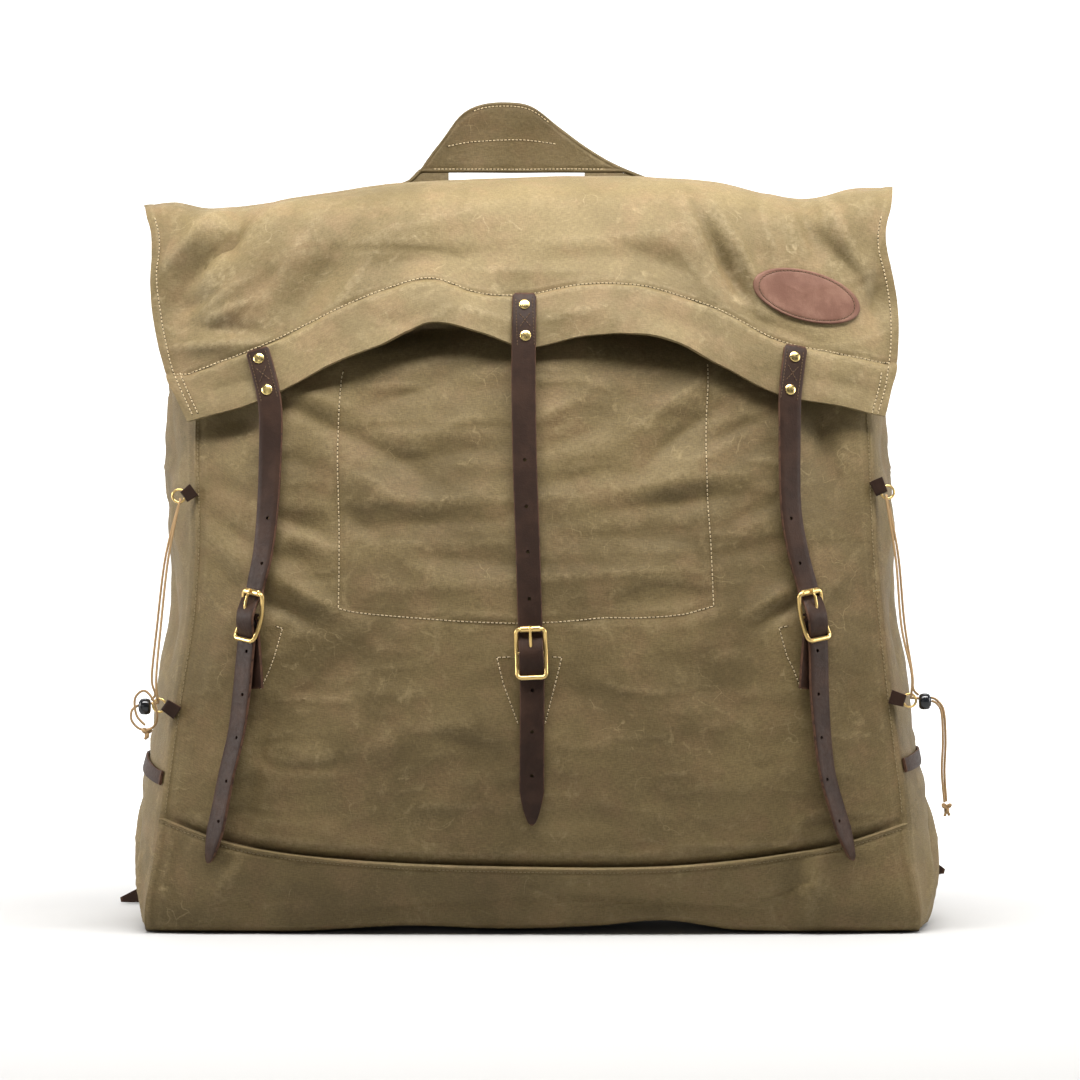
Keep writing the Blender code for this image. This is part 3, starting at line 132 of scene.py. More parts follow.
FLAP_HEM = named(
    FlapHem,
    (-272, 400, 438, 3), (-213, 417, 460, 1), (-158, 444, 486, 6), (-119, 460, 503, 11),
    (-80, 478, 513, 15), (-41, 469, 501, 9), (-5, 458, 500, 2), (40, 467, 508, 9), (85, 468, 507, 14),
    (116, 460, 499, 11), (147, 444, 488, 6), (194, 421, 464, 1), (241, 413, 454, 3), (277, 405, 447, 4),
)


class FlapSide(NamedTuple):
    """The flap's two side edges at one height."""

    z: float
    left: float
    right: float


FLAP_SIDE = named(
    FlapSide,
    (400, -271, 277), (426.7, -284, 285), (442, -291, 288), (458, -295.4, 290.5), (474, -299.4, 291.3),
    (490, -302.5, 291.3), (506, -305, 289.7), (522, -305.7, 286.5), (538, -304, 282.5), (553, -305, 282.5),
    (580, -314, 289), (595, -316, 292),
)


class Turn(NamedTuple):
    """The flap's line over the top: how far back it is, and how far below the crest."""

    y: float
    drop: float


FLAP_TURN = (Turn(76, 17), Turn(44, 4), Turn(8, 0))
FLAP_SHOULDER = ((0.42, 0.12), (0.80, 0.44), (1.0, 1.0))
FLAP_BACK_HEM_Z = 534
FLAP_BACK_TOP_Z = 560
FLAP_BACK_HALF = 264
FLAP_BACK_STAND = 0.5
FOLD_GAIN = 1.3
GUSSET_TOP = 530
SEAM_HALF = 292
BOTTOM_HALF = 305
PAST_SEAM = 1.012
REAR_SPREAD = 1.02
SEAM_INSET = 4.2
HEM_INSET = 6.5


class Fold(NamedTuple):
    """A dent (depth over zero) or ridge (under zero) along one direction, bent by its last value."""

    x: float
    z: float
    angle: float
    length: float
    width: float
    depth: float
    bend: float = 0.0


FRONT_FOLDS = named(
    Fold,
    (-240, 398, 12, 34, 19, 11), (-84, 474, 4, 62, 15, 13), (92, 470, -4, 54, 15, 10),
    (-200, 440, 24, 40, 12, 5), (180, 440, -24, 40, 12, 5), (-240, 349, -20, 26, 7, 2.2, 0.2),
    (-240, 318, -37, 32, 7, 3.4, -0.2), (-238, 298, -38, 30, 8, -2.4), (-241, 281, -42, 28, 8, 3.8, 0.2),
    (-252, 262, -48, 26, 9, -2.0), (-174, 264, -29, 32, 8, -3.6, -0.2), (-190, 252, -22, 24, 6, 4.2, 0.2),
    (-181, 318, -22, 26, 7, 2.2), (-187, 293, -10, 16, 9, 2.6), (-172, 306, -18, 24, 7, -1.8),
    (-170, 402, -27, 36, 7, 2.8, -0.2), (-166, 418, -22, 30, 8, -2.0), (-180, 366, -12, 28, 10, 1.6),
    (-118, 377, -25, 42, 11, 3.2, 0.2), (-123, 350, -30, 42, 13, -2.4), (-132, 319, -39, 34, 11, 3.4, 0.2),
    (-108, 298, -30, 34, 10, -1.8), (-80, 321, 2, 60, 9, 2.2, 0.1), (-78, 338, 2, 60, 9, -1.8),
    (-48, 291, -3, 60, 9, 1.8), (-66, 272, 2, 60, 8, -1.4), (-60, 398, 14, 46, 12, -2.0),
    (-64, 374, 8, 50, 10, 1.8), (-95, 423, 20, 40, 10, 2.2), (227, 388, -72, 38, 19, 7),
    (236, 352, 82, 38, 16, 3.8), (116, 390, 38, 36, 10, 4.2, 0.2), (106, 412, 34, 34, 10, -2.8),
    (134, 372, 34, 36, 10, -2.2), (160, 393, 25, 24, 8, 2.6), (110, 336, 7, 56, 9, 2.8, 0.1),
    (112, 352, 8, 50, 9, -2.2), (88, 312, 4, 60, 10, 1.6), (53, 281, 2, 70, 5, -1.1),
    (108, 262, 7, 60, 10, 1.6), (194, 251, 31, 18, 5, 3.0), (188, 262, 28, 22, 7, -2.4),
    (174, 330, 22, 28, 9, 1.8), (170, 300, 14, 28, 9, 1.6), (20, 410, 28, 24, 8, -2.6),
    (30, 386, 22, 34, 7, 1.6), (36, 356, 14, 40, 9, 1.6), (248, 300, 68, 44, 10, 2.0),
    (236, 272, 55, 30, 10, -2.0), (-214, 127, 80, 48, 10, 3.0), (-110, 150, 12, 90, 28, -2.6),
    (100, 140, -10, 90, 30, -2.4), (0, 186, 2, 70, 22, 2.0), (-150, 210, 40, 60, 20, 2.4),
    (130, 200, -35, 60, 20, 2.4), (250, 190, 70, 50, 14, 2.0), (-255, 190, 75, 50, 14, -2.0),
    (-60, 26, 4, 110, 12, 4), (108, 26, -5, 84, 12, 5), (220, 45, 80, 30, 10, -3.4, 0.2),
    (204, 38, 78, 28, 10, 3.2), (-236, 44, 62, 32, 11, -2.6), (-216, 36, 60, 26, 12, 2.4),
    (-276, 60, 82, 34, 8, 2.4), (20, 38, 8, 60, 12, -2.2),
)

FLAP_FOLDS = named(
    Fold,
    (-256, 533, 47, 40, 9, 6.5, 0.25), (-270, 547, 47, 36, 10, -5.5), (-268, 496, 24, 22, 13, 6.5),
    (-243, 503, 30, 26, 9, -2.6), (-250, 461, 3, 34, 7, -3.6), (-244, 474, -6, 32, 7, 3.4),
    (-236, 489, 24, 26, 7, -2.4), (-171, 510, 58, 46, 13, 4.8, 0.1), (-142, 508, 55, 42, 13, -3.0),
    (-198, 522, 54, 40, 13, -3.4), (-214, 505, 50, 34, 9, 2.8), (-237, 553, 80, 22, 10, 4.5),
    (-210, 566, 30, 26, 9, -2.4), (152, 527, -62, 40, 7, 6.5, -0.15), (166, 530, -62, 36, 8, -5.0),
    (134, 514, -50, 38, 12, -2.6), (222, 552, -75, 28, 11, 5.0), (241, 560, -70, 24, 10, -3.6),
    (274, 498, 85, 24, 11, 6.0), (262, 520, -60, 26, 9, -4.0), (247, 530, -46, 28, 8, 4.2),
    (196, 474, -24, 28, 8, 2.8), (178, 486, -34, 26, 9, -2.2), (100, 528, -24, 60, 15, 2.4),
    (70, 548, 4, 80, 15, -2.0), (-60, 532, 10, 80, 16, 2.2), (-96, 556, 16, 60, 14, -2.0),
    (0, 520, -2, 70, 10, -1.6), (-104, 480, 20, 40, 12, 1.8), (-40, 484, -14, 28, 9, -2.0),
    (30, 484, 12, 28, 9, -2.0), (116, 478, -18, 40, 10, 1.8), (-236, 430, 14, 26, 9, 2.0),
    (246, 430, -8, 24, 9, 2.0),
)

SIDE_FOLDS = named(
    Fold,
    (-60, 60, 70, 40, 8, 4.5, 0.2), (-78, 40, 66, 34, 7, -4.5), (-40, 40, 74, 34, 9, -3.5),
    (-50, 250, 60, 50, 12, 3.0), (-70, 300, 50, 40, 10, -2.5), (0, 330, -40, 60, 14, 3.5),
    (30, 220, 30, 60, 14, 3.0), (50, 400, -55, 60, 12, 3.0), (-20, 420, 60, 50, 12, 3.5),
    (20, 150, 8, 60, 9, -3.0), (0, 96, -10, 50, 10, 3.0), (60, 60, -60, 36, 10, 3.5),
)


class ClosingPlan(NamedTuple):
    """One closing strap: its route, its turn to the left in degrees by height, rivets, holes and tab."""

    side: str
    route: tuple
    turns: tuple
    rivets: tuple
    holes: tuple
    buckle: Spot
    tilt: float
    tab_foot: Spot


CLOSING_STRAPS = (
    ClosingPlan(
        "left",
        ((-216, 457), (-207, 425), (-204, 399), (-205, 340), (-208.5, 298), (-214.2, 270), (-217.5, 248),
         (-220.8, 226), (-224, 191), (-228, 158), (-236, 123), (-242, 92), (-250, 57)),
        ((57, 42), (92, 46), (123, 48), (158, 45), (191, 42), (226, 43), (248, 44), (270, 41), (298, 34),
         (340, 24), (399, 12), (457, 3)),
        ((-214.5, 450), (-207.5, 425)),
        (324, 289, 221, 188, 154, 121, 90),
        Spot(-217.5, 248), 11.0, Spot(-212, 192),
    ),
    ClosingPlan(
        "centre",
        ((-6, 500), (-6.5, 430), (-5.5, 370), (-3, 298), (-1.3, 242), (-0.5, 220), (0.3, 198), (0, 119),
         (0, 87)),
        ((87, 0), (220, 2), (500, 0)),
        ((-6, 492), (-5, 467)),
        (370, 333, 298, 262, 192, 159, 125),
        Spot(-0.5, 220), -2.0, Spot(-0.5, 167),
    ),
    ClosingPlan(
        "right",
        ((207, 459), (202, 425), (201, 400), (201, 336), (206.5, 298), (213.7, 270), (217.5, 248.5),
         (221.3, 227), (222, 192), (224, 158), (228, 125), (237, 93), (248, 59)),
        ((59, -48), (93, -50), (125, -48), (158, -44), (192, -37), (227, -36), (248, -36), (270, -32),
         (298, -29), (336, -30), (400, -22), (459, -11)),
        ((206, 451), (202, 425)),
        (324, 289, 221, 188, 154, 122, 90),
        Spot(217.5, 248.5), -10.0, Spot(211, 192),
    ),
)

HANDLE_TOP = named(
    Spot,
    (-121, 607), (-101, 615), (-77, 645), (-61, 666), (-44, 675), (-20, 677), (0, 673), (23, 656),
    (45, 640), (71, 625), (106, 611),
)


class RingPlan(NamedTuple):
    """A ring on its leather tab: the tab's root at the seam, and the ring's middle."""

    name: str
    root_x: float
    root_z: float
    x: float
    y: float
    z: float


RINGS = (
    RingPlan("upper_left", -266.2, 347, -278, -87.1, 342),
    RingPlan("upper_right", 270.6, 355, 280, -87.1, 345),
    RingPlan("lower_left", -277, 172, -291, -106.6, 178),
    RingPlan("lower_right", 280, 185, 295, -106.6, 182),
)
BAND_HEIGHTS = {"left": (121, 128, 124), "right": (131, 134, 130)}
RING_RADIUS = 6.0
RING_WIRE = 0.95
LOCK_Y = -102.6
LOCKS = {"left": (-303, 177), "right": (307.5, 181)}
KNOTS = {"left": (-300, -112.6, 157.5), "right": (324.5, -102.6, 98)}
CORD_RADIUS = 0.95 * MM

SIDE_CORDS = {
    "left": (
        (-298.1, -104.6, 179.5), (-293.5, -103.1, 179.8), (-292, -106.6, 180.2), (-292, -110.8, 184),
        (-293, -111.1, 200), (-290.5, -103.6, 238), (-285.5, -96.9, 291), (-278.5, -91.1, 331),
        (-276.8, -89.3, 338), (-277.2, -86.7, 339.4), (-277.8, -83.9, 336.5), (-280.5, -84.6, 328),
        (-288.5, -91.9, 291), (-294, -97.1, 240), (-297.5, -102.1, 200), (-295, -101.6, 187),
        (-298.1, -101.1, 182),
    ),
    "right": (
        (302.6, -104.6, 183.5), (297.5, -103.1, 183.8), (296, -106.6, 184.2), (296, -110.8, 188),
        (296, -111.1, 204), (289, -103.6, 240), (285.5, -96.9, 291), (279.5, -91.1, 334),
        (278.8, -89.3, 341), (279.2, -86.7, 342.4), (279.8, -83.9, 339.5), (282, -84.6, 331),
        (288, -92, 294), (292, -97.2, 243), (297.5, -102.1, 204), (298.5, -101.6, 191),
        (302.6, -101.1, 186),
    ),
}
CORD_TAILS = {
    "left": (
        (-307.9, -102.6, 178), (-313, -102.6, 174), (-313, -103.6, 166), (-306, -105.6, 159.5),
        (-296, -108.6, 161), (-292, -112.6, 170), (-295, -115.6, 183), (-302, -115.6, 190),
        (-309, -114.6, 184), (-308, -114.1, 171), (-301.5, -113.1, 163),
    ),
    "right_front": (
        (312.4, -104.6, 181.5), (316.5, -104.6, 179.5), (320.3, -104.6, 172), (321.3, -104.6, 150),
        (320.5, -104.6, 126), (322.5, -104.6, 102.1),
    ),
    "right_back": (
        (312.4, -100.6, 184), (317.5, -100.6, 181.5), (322.5, -100.6, 173), (323.9, -100.6, 150),
        (323.1, -100.6, 126), (324.5, -100.6, 102.5),
    ),
}


class BackPoint(NamedTuple):
    """A point of a shoulder strap: half its width there, and the gap it leaves to the back."""

    x: float
    z: float
    half_width: float
    gap: float


SHOULDER_UPPER = (
    (34, 512, 21, 0.6), (46, 484, 22, 0.8), (76, 430, 23, 22), (108, 370, 23, 35),
    (140, 300, 22, 38), (170, 235, 18, 33), (200, 170, 13, 25), (232, 105, 12.5, 13),
)
SHOULDER_STRAPS = {
    "left": named(
        BackPoint, *((-x, *rest) for x, *rest in SHOULDER_UPPER),
        (-256, 64, 12.5, 6), (-280, 32, 12.5, 1.4), (-306, 14, 11, 3), (-330, 7, 7, 4), (-348.5, 3, 2, 4),
    ),
    "right": named(
        BackPoint, *SHOULDER_UPPER,
        (258, 68, 12.5, 6), (288, 45, 12.5, 1.4), (316, 35, 11, 3), (336, 30, 7, 4), (348.5, 27, 2, 4),
    ),
}
SHOULDER_BUCKLES = {"left": (-240, 91, 27), "right": (241, 93, -27)}
YOKE_RIVETS = ((-36, 508), (36, 508), (-46, 486), (46, 486))

POCKET_STITCHES = (
    (-148, 440), (-150, 430), (-152, 383), (-151, 340), (-150, 301), (-150, 254), (-132, 250.5), (-91, 247),
    (-56, 244.5), (-14, 243), (22, 244), (56, 247), (84, 247), (116, 249.5), (141, 256), (139, 305),
    (137, 337), (136, 384), (138, 431), (138, 446),
)
TRIANGLES = {
    "left": ((-199, 240), (-194, 238.5), (-200, 217), (-204, 206), (-211, 191)),
    "centre": ((-27, 216.5), (-22, 196), (-10.5, 165)),
    "centre_top": ((-27, 216.5), (-16, 217)),
    "centre_right": ((16, 217), (23, 216.5), (18, 196), (10, 165)),
    "right": ((199, 240.5), (192, 239), (198, 217), (203, 207), (209, 191)),
}


# Shapes in numbers


class Curve:
    """A smooth line through a table's rows."""

    def __init__(self, rows: Sequence[NamedTuple], column: str) -> None:
        """Reads one column against the table's first one.

        Args:
            rows: The table.
            column: The column's name.
        """
        self.at = np.array([row[0] for row in rows], float)
        self.value = np.array([getattr(row, column) for row in rows], float)
        low = np.maximum(np.arange(len(rows)) - 1, 0)
        high = np.minimum(np.arange(len(rows)) + 1, len(rows) - 1)
        self.slope = (self.value[high] - self.value[low]) / (self.at[high] - self.at[low])

    def __call__(self, at: Union[Number, Array]) -> Array:
        """The value at a place, in the table's units.

        Args:
            at: One place or many, in the first column's units.

        Returns:
            The value at each place.
        """
        at = np.clip(np.asarray(at, float), self.at[0], self.at[-1])
        i = np.clip(np.searchsorted(self.at, at, side="right") - 1, 0, len(self.at) - 2)
        span = self.at[i + 1] - self.at[i]
        t = (at - self.at[i]) / span
        rise = (2 * t**3 - 3 * t**2 + 1) * self.value[i] + (3 * t**2 - 2 * t**3) * self.value[i + 1]
        bend = (t**3 - 2 * t**2 + t) * self.slope[i] + (t**3 - t**2) * self.slope[i + 1]
        return rise + span * bend


def through(points: Points, count: int) -> Array:
    """Even points on a smooth curve through the given ones.

    Args:
        points: The points that the curve passes.
        count: How many points to return.

    Returns:
        An array of count points.
    """
    given = np.array(points, float)
    padded = np.vstack([given[:1], given, given[-1:]])
    t = (np.arange(24) / 24)[:, None]
    runs = []
    for i in range(len(given) - 1):
        p0, p1, p2, p3 = padded[i : i + 4]
        square, cube = (2 * p0 - 5 * p1 + 4 * p2 - p3) * t**2, (3 * p1 - p0 - 3 * p2 + p3) * t**3
        runs.append(0.5 * (2 * p1 + (p2 - p0) * t + square + cube))
    fine = np.vstack([*runs, given[-1:]])
    reach = reach_along(fine)
    wanted = np.linspace(0, reach[-1], count)
    return np.stack([np.interp(wanted, reach, fine[:, k]) for k in range(fine.shape[1])], axis=1)


def run_length(points: Array) -> float:
    """The length of a line of points."""
    return float(np.linalg.norm(np.diff(np.asarray(points, float), axis=0), axis=1).sum())


def reach_along(points: Array, axis: int = 0) -> Array:
    """How far each point lies along its line from the line's start."""
    steps = np.linalg.norm(np.diff(points, axis=axis), axis=-1)
    return np.insert(np.cumsum(steps, axis=axis), 0, 0.0, axis=axis)


def bell(distance: Array, width: float) -> Array:
    """1 at distance 0, fading to both sides over the width."""
    return np.exp(-((distance / width) ** 2))


def off_seams(u: Array, steep: float) -> Array:
    """1 in a panel's middle, falling to 0 at its seams, where u is -1 and 1."""
    return np.clip(steep * (1 - np.abs(u)), 0, 1)


def unit(vectors: Array) -> Array:
    """The vectors at length one."""
    return vectors / np.maximum(np.linalg.norm(vectors, axis=-1, keepdims=True), 1e-12)


class Crumple:
    """Smooth random relief on a plane, the same on each run."""

    def __init__(self, seed: int) -> None:
        """Draws the lattice."""
        self.lattice = np.random.default_rng(seed).uniform(-1, 1, (97, 97))

    def __call__(self, x: Array, z: Array, wide: float, high: float) -> Array:
        """The relief at points of the plane.

        Args:
            x: Across the plane, in metres.
            z: Up it.
            wide: How wide its features are.
            high: How high they are.

        Returns:
            Values from -1 to 1.
        """
        fx, fz = np.asarray(x) / wide + 31.7, np.asarray(z) / high + 17.3
        ix, iz = np.floor(fx).astype(int), np.floor(fz).astype(int)
        tx, tz = fx - ix, fz - iz
        tx, tz = tx**3 * (tx * (6 * tx - 15) + 10), tz**3 * (tz * (6 * tz - 15) + 10)
        g = self.lattice
        a, b = g[ix % 97, iz % 97], g[(ix + 1) % 97, iz % 97]
        c, d = g[ix % 97, (iz + 1) % 97], g[(ix + 1) % 97, (iz + 1) % 97]
        return (a + (b - a) * tx) * (1 - tz) + (c + (d - c) * tx) * tz

    def creases(self, x: Array, z: Array, wide: float, high: float) -> Array:
        """Thin ridges, from 0 to 1, where the relief passes through its middle."""
        return np.clip(1 - np.abs(self(x, z, wide, high)) * 3.2, 0, 1) ** 2


def fold_relief(folds: Iterable[Fold], x: Array, z: Array) -> Array:
    """How far the folds push the cloth in, in metres.

    Args:
        folds: The folds, in millimetres.
        x: Where the cloth's points are across it, in metres.
        z: Where they are up it, in metres.

    Returns:
        The depth at each point.
    """
    total = np.zeros(np.broadcast(x, z).shape)
    for fold in folds:
        turn = radians(fold.angle)
        dx, dz = x / MM - fold.x, z / MM - fold.z
        along = (dx * cos(turn) + dz * sin(turn)) / fold.length
        across = (dz * cos(turn) - dx * sin(turn)) / fold.width + fold.bend * along**2
        total += fold.depth * np.exp(-(along**2) - np.abs(across) ** 1.5)
    return total * MM * FOLD_GAIN


def curve(table: Sequence[NamedTuple], column: str) -> Curve:
    """A dataclass field that reads a table's column."""
    return field(default_factory=lambda: Curve(table, column))


class BodyShape:
    """The pack's body as smooth functions of height and place."""

    def __init__(self) -> None:
        """Reads the tables."""
        self.column = {name: Curve(LEVELS, name) for name in Level._fields[1:]}
        self.seam = Curve(BASE_SEAM, "z")
        self.lift = Curve(BOTTOM_LIFT, "z")

    def at(self, name: str, z: Union[Number, Array]) -> Array:
        """A column of the body's table, with z and the result in metres."""
        return self.column[name](np.asarray(z) / MM) * MM

    def x_at(self, u: Array, z: Array) -> Array:
        """Where a share u of the front, from -1 to 1, lies at a height."""
        left, right = self.at("seam_left", z), self.at("seam_right", z)
        return (left + right) / 2 + u * (right - left) / 2

    def across(self, x: Array, z: Array) -> Array:
        """Where x lies between the front seams, from -1 to 1."""
        left, right = self.at("seam_left", z), self.at("seam_right", z)
        return (2 * x - left - right) / (right - left)

    def front_y(self, x: Array, z: Array, folds: Sequence[Fold] = FRONT_FOLDS) -> Array:
        """The front's outer surface; past the seams it turns back.

        Args:
            x: Across the front, in metres.
            z: Up it.
            folds: The folds that it has.

        Returns:
            Its depth at each point, in metres.
        """
        u = np.abs(self.across(x, z))
        seam, belly = self.at("seam_y", z), self.at("belly_y", z)
        full = (1 - np.minimum(u, 1) ** 2.6) ** 0.85
        relief = fold_relief(folds, x, z) * off_seams(u, 6)
        return np.where(u >= 1, seam + (u - 1) * 90 * MM, seam + (belly - seam) * full + relief)

    def back_y(self, u: Array, z: Array) -> Array:
        """The back's outer surface, rounded forward at its sides."""
        return self.at("back_y", z) - 12 * MM * np.abs(u) ** 4

    def seam_z(self, u: Array) -> Array:
        """The base panel's seam, u from -1 to 1 across the front."""
        return self.seam(u * SEAM_HALF) * MM

    def lift_z(self, u: Array) -> Array:
        """How far the bottom's front edge is pulled up off the floor."""
        return np.maximum(0, self.lift(u * BOTTOM_HALF)) * MM


BODY = BodyShape()


# Meshes


def in_scene(name: str, data: bpy.types.ID) -> Piece:
    """A new object of a mesh, light or camera, in the scene."""
    made = bpy.data.objects.new(name, data)
    bpy.context.scene.collection.objects.link(made)
    return made


@dataclass
class Shell:
    """A mesh in the making: points, four-sided faces with their cloth coordinates, and end caps.

    Its worn value, from 0 to 1, marks cut leather edges and rubbed cloth.
    """

    points: Array
    quads: Array
    uv: Array
    caps: list = field(default_factory=list)
    worn: Array = None

    def __post_init__(self) -> None:
        """Gives points without a worn value the value 0."""
        if self.worn is None:
            self.worn = np.zeros(len(self.points))

    def __add__(self, other: "Shell") -> "Shell":
        """Both shells as one."""
        return joined([self, other])

    def skin(self) -> BVHTree:
        """The shell's faces, for laying other pieces on it."""
        return BVHTree.FromPolygons(self.points.tolist(), self.quads.tolist())

    def make(self, name: str, finish: "Finish", *nodes: str, sharp: float = 42, slot: str = "") -> Piece:
        """Makes the object, puts it on the frame and lets it stand for its CAD nodes.

        Args:
            name: The piece's name.
            finish: Its finish.
            *nodes: The CAD nodes that it replaces.
            sharp: The angle in degrees over which an edge stays sharp.
            slot: Not used.

        Returns:
            The new object.
        """
        mesh = bpy.data.meshes.new(name)
        mesh.from_pydata(self.points.tolist(), [], self.quads.tolist() + self.caps)
        layer = mesh.uv_layers.new(name="cloth")
        corners = np.zeros((len(mesh.loops), 2), np.float32)
        corners[: self.uv.shape[0] * 4] = self.uv.reshape(-1, 2)
        layer.data.foreach_set("uv", corners.ravel())
        mark = mesh.attributes.new("worn", "FLOAT", "POINT")
        mark.data.foreach_set("value", self.worn.astype(np.float32))
        mesh.validate()
        mesh.shade_smooth()
        mesh.set_sharp_from_angle(angle=radians(sharp))
        mesh.materials.append(finish.material)
        made = in_scene(name, mesh)
        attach(made, "root")
        if nodes:
            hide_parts(*nodes)
        LOG.info("%s: %d faces", name, len(mesh.polygons))
        return made


def joined(shells: Sequence[Shell]) -> Shell:
    """Many shells as one.

    Args:
        shells: The shells, in order.

    Returns:
        One shell with all their points, faces and caps.
    """
    starts = np.cumsum([0] + [len(shell.points) for shell in shells])
    return Shell(
        np.vstack([shell.points for shell in shells]),
        np.vstack([shell.quads + start for shell, start in zip(shells, starts)]),
        np.vstack([shell.uv for shell in shells]),
        [[k + start for k in cap] for shell, start in zip(shells, starts) for cap in shell.caps],
        np.concatenate([shell.worn for shell in shells]),
    )


def grid_quads(rows: int, columns: int, start: int = 0) -> Array:
    """The faces between the points of a grid, row by row."""
    first = (np.arange(rows - 1)[:, None] * columns + np.arange(columns - 1)[None]).ravel() + start
    return np.stack([first, first + 1, first + columns + 1, first + columns], axis=1)


def grid_normals(points: Array) -> Array:
    """The outward normals of a grid whose columns run right and rows run up, seen from outside."""
    return unit(np.cross(np.gradient(points, axis=1), np.gradient(points, axis=0)))


RIDGE_STAND = 0.55 * MM


def ridges(points: Array) -> Array:
    """How far each point of a grid stands out of its surroundings, from 0 to 1.

    Args:
        points: The grid's outer face.

    Returns:
        One value for each point.
    """
    near = points.copy()
    reach = 2
    near[reach:-reach] = (points[: -2 * reach] + points[2 * reach :]) / 2
    flat = near.copy()
    flat[:, reach:-reach] = (points[:, : -2 * reach] + points[:, 2 * reach :]) / 2
    stand = ((2 * points - near - flat) * grid_normals(points)).sum(axis=2)
    stand[[0, 1, -2, -1]] = 0
    stand[:, [0, 1, -2, -1]] = 0
    return np.clip(stand / RIDGE_STAND, 0, 1)


def cloth(points: Array, wall: Union[float, Array] = CANVAS) -> Shell:
    """A closed sheet from the grid of its outer face.

    Args:
        points: Rows of points on the outer face, columns to the right and rows up.
        wall: The thickness, one value or one for each point.

    Returns:
        The shell, with its inner face and its four edges.
    """
    rows, columns = points.shape[:2]
    across = reach_along(points, 1)
    across -= across[:, columns // 2 : columns // 2 + 1]
    flat = np.stack([across, reach_along(points)], axis=2).reshape(-1, 2)
    thick = np.broadcast_to(np.asarray(wall, float), (rows, columns))[..., None]
    inner = points - grid_normals(points) * thick
    n = rows * columns
    outside = grid_quads(rows, columns)
    inside = grid_quads(rows, columns, n)[:, ::-1]
    ids = np.arange(n).reshape(rows, columns)
    ring = np.concatenate([ids[0], ids[1:, -1], ids[-1, -2::-1], ids[-2:0:-1, 0]])
    after = np.roll(ring, -1)
    rim = np.stack([ring, ring + n, after + n, after], axis=1)
    quads = np.vstack([outside, inside, rim])
    return Shell(
        np.vstack([points.reshape(-1, 3), inner.reshape(-1, 3)]),
        quads,
        np.vstack([flat, flat])[quads],
        worn=np.concatenate([ridges(points).ravel(), np.zeros(n)]),
    )


def loft(sections: Array, closed: bool = False, worn: Array = None) -> Shell:
    """A closed solid through sections of equal count.

    Args:
        sections: An array of sections, each a ring of points turning right-handed about the way forward.
        closed: Whether the last section meets the first one.
        worn: The worn value of each point of a section.

    Returns:
        The shell, with a cap at each end where it isn't closed.
    """
    count, sides = sections.shape[:2]
    k = np.arange(sides)
    n = np.roll(k, -1)
    runs = count if closed else count - 1
    centres = sections.mean(axis=1)
    reach = reach_along(centres)
    ends = np.append(reach[1:], reach[-1] + np.linalg.norm(centres[0] - centres[-1])) if closed else reach[1:]
    quads, uv = [], []
    for i in range(runs):
        j = (i + 1) % count
        quads.append(np.stack([i * sides + k, i * sides + n, j * sides + n, j * sides + k], axis=1))
        low, high = np.full(sides, reach[i]), np.full(sides, ends[i])
        turn, step = k / sides, (k + 1) / sides
        corners = ((low, turn), (low, step), (high, step), (high, turn))
        uv.append(np.stack([np.stack(corner, axis=1) for corner in corners], axis=1))
    caps = [] if closed else [k[::-1].tolist(), (k + (count - 1) * sides).tolist()]
    marks = None if worn is None else np.tile(worn, count)
    return Shell(sections.reshape(-1, 3), np.vstack(quads), np.vstack(uv), caps, marks)


def wire(path: Array, radius: Union[float, Array], sides: int = 10, closed: bool = False) -> Shell:
    """A round wire or cord along a path.

    Args:
        path: The middle line.
        radius: The radius, one value or one for each point.
        sides: How many sides it has.
        closed: Whether it is a ring.

    Returns:
        The shell.
    """
    path = np.asarray(path, float)
    if closed:
        tangents = unit(np.roll(path, -1, axis=0) - np.roll(path, 1, axis=0))
    else:
        tangents = unit(np.gradient(path, axis=0))
    normal = np.cross(tangents[0], (0, 0, 1) if abs(tangents[0][2]) < 0.9 else (0, 1, 0))
    normals = []
    for tangent in tangents:
        normal = unit(normal - tangent * np.dot(normal, tangent))
        normals.append(normal)
    normals = np.array(normals)
    angles = 2 * pi * np.arange(sides) / sides
    radius = np.broadcast_to(np.asarray(radius, float), (len(path),))[:, None, None]
    cosines, sines = np.cos(angles)[None, :, None], np.sin(angles)[None, :, None]
    round_ = normals[:, None] * cosines + np.cross(tangents, normals)[:, None] * sines
    return loft(path[:, None] + round_ * radius, closed)


def turned(profile: Points, centre: Sequence[float], axis: Sequence[float], sides: int = 24) -> Shell:
    """A turned solid.

    Args:
        profile: Radius and height pairs along the axis, from its low end.
        centre: Where height 0 lies.
        axis: The axis's direction.
        sides: How many sides it has.

    Returns:
        The shell.
    """
    way = unit(np.array(axis, float))
    first = unit(np.cross(way, (0, 0, 1) if abs(way[2]) < 0.9 else (1, 0, 0)))
    second = np.cross(way, first)
    angles = 2 * pi * np.arange(sides) / sides
    circle = first * np.cos(angles)[:, None] + second * np.sin(angles)[:, None]
    rings = [np.array(centre) + way * height + circle * max(radius, 1e-5) for radius, height in profile]
    return loft(np.array(rings))


